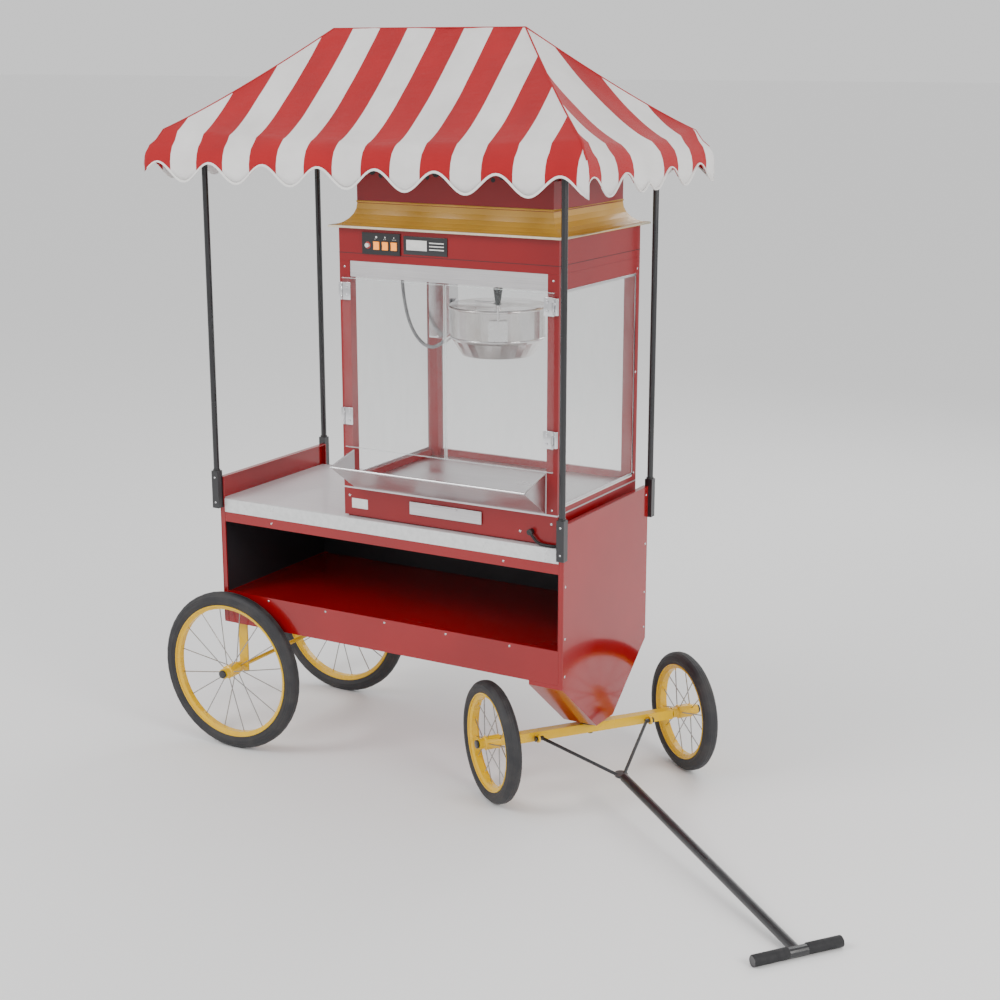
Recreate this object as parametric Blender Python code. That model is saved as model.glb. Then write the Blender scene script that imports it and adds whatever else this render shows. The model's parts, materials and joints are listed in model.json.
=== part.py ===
"""A popcorn machine on a four-wheeled wagon with a striped canopy, as separate closed bodies.

Lengths are metres and +Z is up. Everything is laid out in the wagon's own frame: the centre of its body is at
X = Y = 0, the drawbar points to +X, the operator stands on the -Y side and the floor is at Z = 0. One root empty
then carries it all, so that the origin is the middle of the whole object's footprint on the floor.
The front axle stands steered to one side, with the drawbar resting on the floor.
"""

import math

import bmesh
import bpy
from mathutils import Matrix, Vector

GAP = 0.0003  # what two touching bodies keep between them
CUT = 0.01  # how far a cutting body reaches past what it cuts

# Wagon body
BODY_HALF = 0.590  # half the body's length
DEPTH_HALF = 0.2665  # half the body's depth
PANEL = 0.016  # the folded end panels' thickness
SHEET = 0.003
PANEL_TOP = 0.855
DECK_TOP = 0.787
DECK_THICK = 0.025
MOULDING_LOW = 0.746
APRON_LOW = 0.716
OPENING_LOW = 0.495
SHELF_TOP = 0.485
SHELF_THICK = 0.012
SKIRT_LOW = 0.395
FOLD_DEPTH = 0.012  # depth of the apron's and the skirt's folded channels
INNER = BODY_HALF - PANEL  # inner edge of an end panel's front and back folds
FACE_IN = BODY_HALF - SHEET  # inner side of an end panel's face
CABLE_SLOT = (-0.224, -0.166)  # the deck's notch for the mains lead, from and to along Y
# Pedestal over the front axle
PEDESTAL_BACK = 0.483
CORNER_LOW = 0.383
TIP_LOW = 0.207
TIP_HALF = 0.053
# Rolling gear
REAR_X, REAR_RADIUS, REAR_TRACK = -0.548, 0.250, 0.589
FRONT_X, FRONT_RADIUS, FRONT_TRACK = 0.5425, 0.179, 0.627
STEER = math.radians(-36.9)  # the front axle's angle as parked
TYRE_WIDTH, RIM_WIDTH = 0.044, 0.030
HUB_LENGTH, HUB_RADIUS, HUB_BORE = 0.085, 0.020, 0.0070
AXLE_RADIUS = 0.0065
BEAM_HALF, BEAM_REACH = 0.014, 0.2690
EYE_Y, EYE_X, EYE_Z, EYE_THICK = 0.182, 0.032, 0.180, 0.006
STUB_OVER = 0.004  # how far an axle's end stands out of the hub
# Drawbar, measured from the king pin along the heading
YOKE_X, YOKE_Z = 0.203, 0.105
FORK_ROD, FORK_PIN = 0.005, 0.005
GRIP_X, GRIP_RADIUS, GRIP_HALF = 1.132, 0.014, 0.125
# Canopy
EAVE_HALF_X, EAVE_HALF_Y, EAVE_Z = 0.718, 0.393, 1.862
RIDGE_HALF, RIDGE_Z = 0.318, 2.168
VALANCE_LOW = 1.741
CLOTH = 0.006  # the soft cover's solid stands in for thin fabric
SLOPE_POWER = 1.18  # above 1 the slopes hang hollow
FRAME_DROP = 0.029  # how far the frame's rods run below the cover
FRAME_TUBE = 0.007
EAVE_INSET, EAVE_DROP = 0.026, 0.032  # where the eave tube runs, in from the eave and below it
POST_DROP = 0.020  # how far a post's top stands below the rod that it carries
POST_RADIUS = 0.009
SOCKET_HALF, SOCKET_LOW, SOCKET_TOP = 0.0115, 0.760, 0.875
# Popcorn machine, standing on the deck
CAB_X0, CAB_X1, CAB_Y0, CAB_Y1 = -0.143, 0.559, -0.248, 0.244
BASE_FOOT, BASE_TOP = 0.7925, 0.872
FRAME_FOOT = 0.8769  # the corner posts stand on the floor pan's rim
WALL = 0.002
POST_X, POST_Y = 0.034, 0.030
RAIL_HIGH, TOP_RAIL_LOW = 0.020, 1.487
CEILING_Z = 1.5285
HOUSING_LOW, HOUSING_TOP = 1.532, 1.625
ROOF_OVERHANG, ROOF_INSET, ROOF_HIGH, ROOF_EDGE = 0.020, 0.038, 0.065, 0.005
CREST_WALL, CREST_TOP = 1.770, 1.812
GLASS = 0.004
DRAWER_X0, DRAWER_X1, DRAWER_Z0, DRAWER_Z1, DRAWER_DEEP = 0.089, 0.318, 0.824, 0.857, 0.30
TRAY_X0, TRAY_X1 = -0.107, 0.523
TRAY_LIP = (-0.368, 0.958)
TRAY_BACK_TOP = 0.988
DOOR_PIN_Y, DOOR_PIN_IN = -0.2585, 0.011
DOOR_Y0, DOOR_Y1, DOOR_Z0, DOOR_Z1 = -0.2555, -0.2505, 0.995, 1.4845
# Kettle and its drive
KETTLE_X, KETTLE_Y, KETTLE_RIM_Z = 0.230, 0.0, 1.400
TILT_Y, TILT_Z = 0.045, 1.386
LID_RADIUS, LID_HINGE_Y, LID_Z, LID_THICK = 0.138, -0.010, 1.4008, 0.002
HANDLE_OUT, HANDLE_TURN = 0.150, math.radians(30)  # the dump handle's place, from the front towards the right
COLUMN_X0, COLUMN_X1, COLUMN_Y0, COLUMN_Y1, COLUMN_LOW = -0.015, 0.055, 0.020, 0.070, 1.285
LAMP_SPOT = (0.430, 0.130)
# Leads
KETTLE_LEAD_RADIUS, MAINS_RADIUS = 0.005, 0.004
KETTLE_LEAD_ROUTE = (
    (-0.0750, -0.030, 1.5282), (-0.0748, -0.030, 1.490), (-0.0725, -0.031, 1.440), (-0.0650, -0.032, 1.390),
    (-0.0500, -0.035, 1.342), (-0.0260, -0.039, 1.302), (0.0060, -0.044, 1.276), (0.0380, -0.048, 1.270),
    (0.0650, -0.050, 1.2805), (0.0842, -0.050, 1.2949),
)
MAINS_ROUTE = (
    (0.4846, -0.2575, 0.8152), (0.4900, -0.2575, 0.8080), (0.4985, -0.2575, 0.7995),
    (0.5110, -0.2575, 0.7932), (0.5260, -0.2575, 0.7918), (0.5420, -0.2575, 0.7916),
    (0.5558, -0.2548, 0.7916), (0.5675, -0.2470, 0.7916), (0.5753, -0.2353, 0.7916),
    (0.5780, -0.2200, 0.7908), (0.5780, -0.2050, 0.7855), (0.5780, -0.1925, 0.7745),
    (0.5780, -0.1850, 0.7590), (0.5775, -0.1825, 0.7400), (0.5735, -0.1820, 0.7000),
    (0.5665, -0.1815, 0.6500), (0.5620, -0.1795, 0.6000), (0.5605, -0.1730, 0.5520),
    (0.5605, -0.1560, 0.5160), (0.5605, -0.1250, 0.4945), (0.5605, -0.0900, 0.4897),
    (0.5605, -0.0300, 0.4896), (0.5605, 0.0330, 0.4896),
)
COIL_X, COIL_Y, COIL_TURN = 0.4999, 0.070, 0.0606  # the coil's middle, and where its first turn lies
COIL_INNER, COIL_OUTER, COIL_HIGH = 0.0400, 0.0666, 0.0185
COIL_TAIL = 0.040  # what leaves the coil before the plug
PLUG_LENGTH, PLUG_RADIUS = 0.042, 0.0135
# Switches on the control panel
SWITCH_Z, ROCKER_X, BUTTON_X = 1.579, (-0.014, 0.015, 0.044), -0.043
ROCKER_HALF_W, ROCKER_HALF_H, SWITCH_SLACK = 0.009, 0.011, 0.0005
PLATE_Y0, PLATE_Y1 = -0.2523, -0.2483


def clear_scene():
    for old in list(bpy.data.objects):
        bpy.data.objects.remove(old)


def paint(name, colour, roughness, metallic=0.0, alpha=1.0):
    made = bpy.data.materials.new(name)
    made.use_nodes = True
    shader = made.node_tree.nodes["Principled BSDF"]
    shader.inputs["Base Color"].default_value = (*colour, 1.0)
    shader.inputs["Roughness"].default_value = roughness
    shader.inputs["Metallic"].default_value = metallic
    shader.inputs["Alpha"].default_value = alpha
    made.diffuse_color = (*colour, alpha)
    return made


def empty(name, at=(0, 0, 0), turn=0.0, parent=None):
    made = bpy.data.objects.new(name, None)
    made.location = at
    made.rotation_euler = (0, 0, turn)
    made.parent = parent
    bpy.context.scene.collection.objects.link(made)
    return made


def add(name, shape, material, parent, at=(0, 0, 0), smooth=False):
    """An object from a bmesh laid out in its parent's frame, with its origin moved to at."""
    bmesh.ops.translate(shape, verts=shape.verts, vec=-Vector(at))
    mesh = bpy.data.meshes.new(name)
    shape.to_mesh(mesh)
    shape.free()
    if smooth:
        mesh.shade_smooth()
        mesh.set_sharp_from_angle(angle=math.radians(35))
    mesh.materials.append(material)
    made = bpy.data.objects.new(name, mesh)
    made.location = at
    made.parent = parent
    bpy.context.scene.collection.objects.link(made)
    return made


def block(low, high):
    """A box between two corners."""
    shape = bmesh.new()
    bmesh.ops.create_cube(shape, size=1.0)
    low, high = Vector(low), Vector(high)
    bmesh.ops.scale(shape, verts=shape.verts, vec=high - low)
    bmesh.ops.translate(shape, verts=shape.verts, vec=(low + high) / 2)
    return shape


def prism(outline, along, start, end):
    """A flat outline pushed from start to end along X, Y or Z. Its points hold the other two axes, in order."""
    place = {
        "X": lambda a, b, c: (c, a, b),
        "Y": lambda a, b, c: (a, c, b),
        "Z": lambda a, b, c: (a, b, c),
    }[along]
    shape = bmesh.new()
    face = shape.faces.new([shape.verts.new(place(a, b, start)) for a, b in outline])
    grown = bmesh.ops.extrude_face_region(shape, geom=[face])
    moved = [v for v in grown["geom"] if isinstance(v, bmesh.types.BMVert)]
    bmesh.ops.translate(shape, verts=moved, vec=Vector(place(0, 0, end)) - Vector(place(0, 0, start)))
    bmesh.ops.recalc_face_normals(shape, faces=shape.faces)
    return shape


def cylinder(start, end, radius, sides=16, end_radius=None):
    """A rod, or a cone where end_radius is given, between two points."""
    start, end = Vector(start), Vector(end)
    along = end - start
    shape = bmesh.new()
    bmesh.ops.create_cone(
        shape,
        cap_ends=True,
        segments=sides,
        radius1=radius,
        radius2=radius if end_radius is None else end_radius,
        depth=along.length,
    )
    turn = along.to_track_quat("Z", "Y").to_matrix().to_4x4()
    bmesh.ops.transform(shape, matrix=Matrix.Translation((start + end) / 2) @ turn, verts=shape.verts)
    return shape


def swept(points, radius, sides=8, closed=False):
    """A round rod that follows points which don't run straight up, with a mitred ring at each."""
    points = [Vector(p) for p in points]
    last = len(points) - 1
    shape = bmesh.new()
    rings = []
    for n, point in enumerate(points):
        before = points[n - 1] if closed or n else point
        after = points[(n + 1) % len(points)] if closed or n < last else point
        along = ((after - point).normalized() + (point - before).normalized()).normalized()
        across = along.cross(Vector((0, 0, 1))).normalized()
        up = across.cross(along)
        ring = []
        for k in range(sides):
            angle = math.tau * (k + 0.5) / sides
            ring.append(shape.verts.new(point + (across * math.cos(angle) + up * math.sin(angle)) * radius))
        rings.append(ring)
    pairs = list(zip(rings, rings[1:]))
    if closed:
        pairs.append((rings[-1], rings[0]))
    else:
        shape.faces.new(rings[0])
        shape.faces.new(rings[-1])
    for lower, upper in pairs:
        for k in range(sides):
            shape.faces.new((lower[k], lower[(k + 1) % sides], upper[(k + 1) % sides], upper[k]))
    bmesh.ops.recalc_face_normals(shape, faces=shape.faces)
    return shape


def ball(centre, radius):
    shape = bmesh.new()
    bmesh.ops.create_uvsphere(shape, u_segments=12, v_segments=7, radius=radius)
    bmesh.ops.translate(shape, verts=shape.verts, vec=centre)
    return shape


def turned(profile, centre, steps, axis="Z"):
    """A profile of (radius, height) points turned about an upright or Y axis.

    A profile that never meets the axis closes on itself, and makes a ring.
    """
    shape = bmesh.new()
    points = [shape.verts.new((radius, 0, height)) for radius, height in profile]
    closed = min(radius for radius, _ in profile) > 0
    pairs = list(zip(points, points[1:] + points[:1])) if closed else list(zip(points, points[1:]))
    edges = [shape.edges.new(pair) for pair in pairs]
    bmesh.ops.spin(
        shape,
        geom=points + edges,
        cent=(0, 0, 0),
        axis=(0, 0, 1),
        angle=math.tau,
        steps=steps,
        use_merge=True,
    )
    bmesh.ops.remove_doubles(shape, verts=shape.verts, dist=1e-6)
    if axis == "Y":
        bmesh.ops.rotate(shape, verts=shape.verts, matrix=Matrix.Rotation(math.pi / 2, 3, "X"))
    bmesh.ops.translate(shape, verts=shape.verts, vec=centre)
    bmesh.ops.recalc_face_normals(shape, faces=shape.faces)
    return shape


def carved(shape, others, operation="DIFFERENCE"):
    """The shape after an exact Boolean with each of the others, which are used up."""
    names, temporary = [], []
    for number, piece in enumerate([shape, *others]):
        mesh = bpy.data.meshes.new(f"working_{number}")
        piece.to_mesh(mesh)
        piece.free()
        helper = bpy.data.objects.new(mesh.name, mesh)
        bpy.context.scene.collection.objects.link(helper)
        temporary.append(helper)
        names.append(mesh)
    for tool in temporary[1:]:
        cut = temporary[0].modifiers.new("cut", "BOOLEAN")
        cut.operation = operation
        cut.object = tool
    bpy.context.view_layer.update()
    result = bmesh.new()
    result.from_object(temporary[0], bpy.context.evaluated_depsgraph_get())
    for helper in temporary:
        bpy.data.objects.remove(helper)
    bmesh.ops.remove_doubles(result, verts=result.verts, dist=1e-6)
    return result


def fused(shape, *others):
    return carved(shape, others, "UNION")


def smooth_route(points, spacing):
    """Points about spacing apart along a smooth curve through the given ones."""
    points = [Vector(p) for p in points]
    padded = [2 * points[0] - points[1], *points, 2 * points[-1] - points[-2]]
    made = []
    for before, first, second, after in zip(padded, padded[1:], padded[2:], padded[3:]):
        pieces = max(1, round((second - first).length / spacing))
        for step in range(pieces):
            t = step / pieces
            made.append(
                0.5 * (
                    2 * first
                    + (second - before) * t
                    + (2 * before - 5 * first + 4 * second - after) * t * t
                    + (3 * first - before - 3 * second + after) * t**3
                )
            )
    return [*made, points[-1]]


def lead(name, route, radius, spacing, material, parent):
    """A round lead as a curve with filled ends."""
    path = smooth_route(route, spacing)
    curve = bpy.data.curves.new(name, "CURVE")
    curve.dimensions = "3D"
    curve.bevel_depth = radius
    curve.bevel_resolution = 2
    curve.use_fill_caps = True
    spline = curve.splines.new("POLY")
    spline.points.add(len(path) - 1)
    for point, place in zip(spline.points, path):
        point.co = (*place, 1.0)
    curve.materials.append(material)
    made = bpy.data.objects.new(name, curve)
    made.parent = parent
    bpy.context.scene.collection.objects.link(made)
    return made


# ---------------------------------------------------------------- wagon body


def wagon_body(root, red, dark, laminate, trim):
    tip = [(-DEPTH_HALF, CORNER_LOW), (-TIP_HALF, TIP_LOW), (TIP_HALF, TIP_LOW), (DEPTH_HALF, CORNER_LOW)]
    top = [(DEPTH_HALF, PANEL_TOP), (-DEPTH_HALF, PANEL_TOP)]
    right = prism(tip + top, "X", INNER, BODY_HALF)
    left = block((-BODY_HALF, -DEPTH_HALF, SKIRT_LOW), (-INNER, DEPTH_HALF, PANEL_TOP))
    for name, side, solid in (("end_panel_right", 1, right), ("end_panel_left", -1, left)):
        # A folded sheet: its face, and narrow folds along the front, the back and the top.
        x0, x1 = sorted((side * (INNER - 0.01), side * FACE_IN))
        y = DEPTH_HALF - SHEET
        add(name, carved(solid, [block((x0, -y, SKIRT_LOW + SHEET), (x1, y, PANEL_TOP - SHEET))]), red, root)
    between = INNER - GAP
    wide = FACE_IN - GAP
    front, back = -DEPTH_HALF, DEPTH_HALF
    channel = front + FOLD_DEPTH
    deck_low = DECK_TOP - DECK_THICK
    within = back - SHEET - GAP
    add("front_apron", block((-between, front, APRON_LOW), (between, channel, MOULDING_LOW - GAP)), red, root)
    add("front_skirt", block((-between, front, SKIRT_LOW), (between, channel, OPENING_LOW)), red, root)
    add("back_panel", block((-between, back - SHEET, SKIRT_LOW), (between, back, DECK_TOP)), dark, root)
    shelf = block((-wide, channel + GAP, SHELF_TOP - SHELF_THICK), (wide, within, SHELF_TOP))
    add("shelf_floor", shelf, red, root)
    edge = front + 0.010
    add("deck_moulding", block((-between, front, MOULDING_LOW), (between, edge, DECK_TOP)), trim, root)
    slab = block((-wide, edge + GAP, deck_low), (wide, within, DECK_TOP))
    slot_front, slot_back = CABLE_SLOT
    notch = block((INNER - 0.008, slot_front, deck_low - CUT), (BODY_HALF, slot_back, DECK_TOP + CUT))
    add("deck", carved(slab, [notch]), laminate, root)
    pedestal(root, red)


def pedestal(root, red):
    """The V-shaped trough behind the right end panel, which stands on the front axle."""
    top = SKIRT_LOW - GAP
    slope = [(-TIP_HALF, TIP_LOW), (TIP_HALF, TIP_LOW)]
    outer = [
        (-DEPTH_HALF, top), (-DEPTH_HALF, CORNER_LOW), *slope, (DEPTH_HALF, CORNER_LOW), (DEPTH_HALF, top),
    ]
    side = DEPTH_HALF - SHEET
    floor_half = TIP_HALF - 0.001
    inner = [
        (-side, top + CUT), (-side, CORNER_LOW + 0.001), (-floor_half, TIP_LOW + SHEET),
        (floor_half, TIP_LOW + SHEET), (side, CORNER_LOW + 0.001), (side, top + CUT),
    ]
    trough = prism(outer, "X", PEDESTAL_BACK, INNER - GAP)
    hollow = prism(inner, "X", PEDESTAL_BACK + SHEET, INNER + CUT)
    add("pedestal", carved(trough, [hollow]), red, root)


def hip_height(inward):
    """Height of the canopy where it lies at inward: 0 on the eave, 1 on the ridge."""
    return EAVE_Z + (RIDGE_Z - EAVE_Z) * inward**SLOPE_POWER


def hip_point(inward, side_x, side_y, drop=0.0):
    x = RIDGE_HALF + (EAVE_HALF_X - RIDGE_HALF) * (1 - inward)
    return Vector((side_x * x, side_y * EAVE_HALF_Y * (1 - inward), hip_height(inward) - drop))


def canopy_posts(root, black):
    """Each upright tube with the clamp that grips the body's corner, in one piece."""
    inward = 1 - DEPTH_HALF / EAVE_HALF_Y
    top = hip_height(inward) - FRAME_DROP - POST_DROP
    for name, sx, sy in (
        ("front_left", -1, -1), ("front_right", 1, -1), ("back_left", -1, 1), ("back_right", 1, 1),
    ):
        # The clamp stands just in front of or behind the corner, clear of the panel and the moulding.
        x0, x1 = sorted((sx * (BODY_HALF - SOCKET_HALF), sx * (BODY_HALF + SOCKET_HALF)))
        y0, y1 = sorted((sy * (DEPTH_HALF + GAP), sy * (DEPTH_HALF + GAP + 2 * SOCKET_HALF)))
        clamp = block((x0, y0, SOCKET_LOW), (x1, y1, SOCKET_TOP))
        centre = ((x0 + x1) / 2, (y0 + y1) / 2)
        tube = cylinder((*centre, SOCKET_TOP - 0.02), (*centre, top), POST_RADIUS, 12)
        add(f"canopy_post_{name}", fused(clamp, tube), black, root)


def canopy_frame(root, black):
    """Ridge tube, four hip rods and the eave rectangle, welded together under the cover."""
    eave_x, eave_y, eave_z = EAVE_HALF_X - EAVE_INSET, EAVE_HALF_Y - EAVE_INSET, EAVE_Z - EAVE_DROP
    ridge_z = RIDGE_Z - FRAME_DROP
    parts = [ball((side * RIDGE_HALF, 0, ridge_z), FRAME_TUBE * 1.7) for side in (-1, 1)]
    corners = []
    for sx, sy in ((-1, -1), (1, -1), (1, 1), (-1, 1)):
        knots = [hip_point(inward, sx, sy, FRAME_DROP) for inward in (1.0, 0.66, 0.33, 0.22)]
        corners.append(Vector((sx * eave_x, sy * eave_y, eave_z)))
        parts.append(swept([*knots, corners[-1]], FRAME_TUBE))
    parts.append(swept(corners, FRAME_TUBE * 1.1, closed=True))
    ridge = swept([(-RIDGE_HALF, 0, ridge_z), (RIDGE_HALF, 0, ridge_z)], FRAME_TUBE)
    add("canopy_frame", fused(ridge, *parts), black, root, smooth=True)


def canopy_cover(root, cloth):
    """The hipped cover and its valance as one open shell, thick enough to be a solid."""
    levels = [("valance", 0.0), *[("slope", n / 6) for n in range(7)]]
    shape = bmesh.new()
    rings = []
    for kind, inward in levels:
        corners = []
        for sx, sy in ((-1, -1), (1, -1), (1, 1), (-1, 1)):
            place = hip_point(inward, sx, sy)
            if kind == "valance":
                place.z = VALANCE_LOW
            corners.append(shape.verts.new(place))
        rings.append(corners)
    for lower, upper in zip(rings, rings[1:]):
        for n in range(4):
            shape.faces.new((lower[n], lower[(n + 1) % 4], upper[(n + 1) % 4], upper[n]))
    bmesh.ops.remove_doubles(shape, verts=shape.verts, dist=1e-5)
    bmesh.ops.recalc_face_normals(shape, faces=shape.faces)
    cover = add("canopy_cover", shape, cloth, root)
    thick = cover.modifiers.new("cloth", "SOLIDIFY")
    thick.thickness = CLOTH
    thick.offset = -1
    thick.use_even_offset = True
    thick.use_quality_normals = True


# ---------------------------------------------------------------- wheels, axles and drawbar


def wheel_mesh(radius, tyre_thick, spokes):
    """Rim, spokes and hub of a wheel as one body about the Y axis."""
    rim_top = radius - tyre_thick - GAP
    rim_low = rim_top - 0.012
    half = RIM_WIDTH / 2
    section = [(rim_low, -half * 0.6), (rim_top, -half), (rim_top, half), (rim_low, half * 0.6)]
    rim = turned(section, (0, 0, 0), 48, "Y")
    hub_half = HUB_LENGTH / 2
    waist, flange = HUB_RADIUS * 0.8, 0.30 * HUB_LENGTH
    hub = turned(
        [
            (HUB_BORE, -hub_half), (waist, -hub_half), (waist, -flange), (HUB_RADIUS, -flange + 0.003),
            (HUB_RADIUS, flange - 0.003), (waist, flange), (waist, hub_half), (HUB_BORE, hub_half),
        ],
        (0, 0, 0), 16, "Y",
    )
    rods = []
    for n in range(spokes):
        turn = math.tau * (n + 0.5) / spokes
        side = 1 if n % 2 else -1
        out = Vector((math.cos(turn), 0, math.sin(turn)))
        start = out * (HUB_RADIUS - 0.004) + Vector((0, side * (flange - 0.006), 0))
        rods.append(cylinder(start, out * (rim_low + 0.004), 0.0016, 5))
    return fused(hub, rim, *rods)


def tyre_shape(radius, thick):
    half, inner = TYRE_WIDTH / 2, radius - thick
    profile = [(inner, -half * 0.7), (inner + thick * 0.35, -half), (radius - thick * 0.28, -half * 0.92)]
    profile += [(radius - thick * 0.06, -half * 0.55), (radius, -half * 0.25)]
    profile += [(r, -y) for r, y in reversed(profile)]
    return turned(profile, (0, 0, 0), 48, "Y")


def wheel(name, parent, centre, radius, tyre_thick, rubber, yellow):
    add(f"{name}_tyre", tyre_shape(radius, tyre_thick), rubber, parent, smooth=True).location = centre
    shape = wheel_mesh(radius, tyre_thick, 14 if radius < 0.2 else 16)
    add(f"{name}_wheel", shape, yellow, parent, smooth=True).location = centre


def rear_gear(root, rubber, yellow):
    strut_y, strut_half, strut_thick = 0.235, 0.016, 0.006
    z = REAR_RADIUS
    top = SHELF_TOP - SHELF_THICK - GAP
    plate = block((REAR_X - strut_half, -strut_y, top - strut_thick), (REAR_X + strut_half, strut_y, top))
    legs = []
    for side in (-1, 1):
        y0, y1 = sorted((side * strut_y, side * (strut_y - strut_thick)))
        legs.append(block((REAR_X - strut_half, y0, z - 0.020), (REAR_X + strut_half, y1, top - 0.001)))
    reach = REAR_TRACK / 2 + HUB_LENGTH / 2 + STUB_OVER
    rod = cylinder((REAR_X, -reach, z), (REAR_X, reach, z), AXLE_RADIUS, 16)
    add("rear_axle", fused(plate, *legs, rod), yellow, root)
    for name, side in (("rear_near", -1), ("rear_far", 1)):
        wheel(name, root, (REAR_X, side * REAR_TRACK / 2, z), REAR_RADIUS, 0.040, rubber, yellow)


def front_gear(root, rubber, yellow, steel):
    """Axle beam with its eyes, the king pin above it, and the two steered wheels."""
    z = FRONT_RADIUS
    pin_radius = 0.008
    beam = block((-BEAM_HALF, -BEAM_REACH, z - BEAM_HALF), (BEAM_HALF, BEAM_REACH, z + BEAM_HALF))
    stub_end = FRONT_TRACK / 2 + HUB_LENGTH / 2 + STUB_OVER
    extras = [cylinder((0, -stub_end, z), (0, stub_end, z), AXLE_RADIUS, 16)]
    for side in (-1, 1):
        y0, y1 = side * EYE_Y - EYE_THICK / 2, side * EYE_Y + EYE_THICK / 2
        extras.append(cylinder((EYE_X, y0, EYE_Z), (EYE_X, y1, EYE_Z), 0.012, 16))
        extras.append(block((BEAM_HALF - 0.004, y0, EYE_Z - 0.005), (EYE_X - 0.004, y1, EYE_Z + 0.005)))
    holes = [cylinder((0, 0, z - 0.05), (0, 0, z + 0.05), pin_radius + GAP, 16)]
    for side in (-1, 1):
        y0, y1 = side * EYE_Y - 0.02, side * EYE_Y + 0.02
        holes.append(cylinder((EYE_X, y0, EYE_Z), (EYE_X, y1, EYE_Z), FORK_PIN + 0.0005, 16))
    axle = empty("steering_axis", (FRONT_X, 0, 0), STEER, root)
    add("front_axle", carved(fused(beam, *extras), holes), yellow, axle)
    disc = cylinder((FRONT_X, 0, z + BEAM_HALF + GAP), (FRONT_X, 0, TIP_LOW - GAP), 0.030, 24)
    pin = cylinder((FRONT_X, 0, z - BEAM_HALF - 0.006), (FRONT_X, 0, z + BEAM_HALF + 0.005), pin_radius, 16)
    add("king_pin", fused(disc, pin), steel, root, smooth=True)
    for name, side in (("front_near", -1), ("front_far", 1)):
        wheel(name, axle, (0, side * FRONT_TRACK / 2, z), FRONT_RADIUS, 0.036, rubber, yellow)
    return axle


def drawbar(axle, black):
    """The forked rods that hang in the axle's eyes, and the tube with its cross grip resting on the floor."""
    pin_in, pin_out = EYE_Y - 0.009, EYE_Y + 0.006
    yoke = Vector((YOKE_X, 0, YOKE_Z))
    grip = Vector((GRIP_X, 0, GRIP_RADIUS))
    along = (grip - yoke).normalized()
    up = Vector((-along.z, 0, along.x))
    plate = cylinder(yoke - up * 0.004, yoke + up * 0.004, 0.019, 20)
    parts = []
    for side in (-1, 1):
        parts.append(cylinder((EYE_X, side * pin_in, EYE_Z), (EYE_X, side * pin_out, EYE_Z), FORK_PIN, 12))
        outward = Vector((0, side, 0))
        knee = Vector((EYE_X, side * (pin_in - 0.003), EYE_Z))
        parts.append(cylinder(knee - outward * 0.004, knee + outward * 0.006, 0.0065, 12))
        parts.append(cylinder(knee, yoke + outward * 0.010, FORK_ROD, 8))
    shape = fused(plate, *parts)
    pivot = (EYE_X, 0, EYE_Z)
    add("drawbar_fork", shape, black, axle, at=pivot)
    start = yoke + along * 0.0195
    tube = cylinder(start, grip, 0.013, 16)
    cross = cylinder(grip - Vector((0, GRIP_HALF, 0)), grip + Vector((0, GRIP_HALF, 0)), GRIP_RADIUS, 16)
    add("drawbar_handle", fused(cross, tube), black, axle, at=pivot)


# ---------------------------------------------------------------- popcorn machine


def cabinet_base(root, red, steel):
    foot = 0.008
    shell = block((CAB_X0, CAB_Y0, BASE_FOOT), (CAB_X1, CAB_Y1, BASE_TOP))
    plinth = block(
        (CAB_X0 + foot, CAB_Y0 + foot, DECK_TOP + GAP), (CAB_X1 - foot, CAB_Y1 - foot, BASE_FOOT + 0.001)
    )
    hollow = block(
        (CAB_X0 + WALL, CAB_Y0 + WALL, BASE_FOOT + 0.004), (CAB_X1 - WALL, CAB_Y1 - WALL, BASE_TOP + 0.01)
    )
    slack = 0.0008
    mouth = block(
        (DRAWER_X0 - slack, CAB_Y0 - CUT, DRAWER_Z0 - slack),
        (DRAWER_X1 + slack, CAB_Y0 + CUT, DRAWER_Z1 + slack),
    )
    add("machine_base", carved(fused(shell, plinth), [hollow, mouth]), red, root)
    low = BASE_TOP + GAP
    add("floor_pan", block((CAB_X0, CAB_Y0, low), (CAB_X1, CAB_Y1, FRAME_FOOT - GAP)), steel, root)
    body = block((DRAWER_X0, CAB_Y0 - 0.003, DRAWER_Z0), (DRAWER_X1, CAB_Y0 + DRAWER_DEEP, DRAWER_Z1))
    inside = block(
        (DRAWER_X0 + WALL, CAB_Y0, DRAWER_Z0 + WALL),
        (DRAWER_X1 - WALL, CAB_Y0 + DRAWER_DEEP - WALL, DRAWER_Z1 + CUT),
    )
    middle, pull_half = (DRAWER_X0 + DRAWER_X1) / 2, 0.04
    pull = block(
        (middle - pull_half, CAB_Y0 - 0.012, DRAWER_Z1 - 0.004),
        (middle + pull_half, CAB_Y0 - 0.002, DRAWER_Z1 - 0.001),
    )
    add("kernel_drawer", carved(fused(body, pull), [inside]), steel, root, at=(middle, CAB_Y0, DRAWER_Z0))


def spill_tray(root, steel):
    """The flared tray in the cabinet's mouth: a sloping floor between two side gussets."""
    back, low = CAB_Y0 - GAP - 0.0005, FRAME_FOOT + GAP
    lip = Vector(TRAY_LIP)
    foot = Vector((back, low))
    slope = (lip - foot).normalized()
    inward = Vector((slope.y, -slope.x)) * -1
    if inward.y < 0:
        inward.negate()
    wedge = [(back, low), tuple(lip), tuple(lip + inward * 0.004), (back, TRAY_BACK_TOP)]
    first = foot + inward * WALL - slope * 0.02
    second = lip + inward * WALL + slope * 0.02
    cut = [tuple(first), tuple(second), tuple(second + inward * 0.10), tuple(first + inward * 0.16)]
    hollow = prism(cut, "X", TRAY_X0 + WALL, TRAY_X1 - WALL)
    add("spill_tray", carved(prism(wedge, "X", TRAY_X0, TRAY_X1), [hollow]), steel, root)


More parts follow.
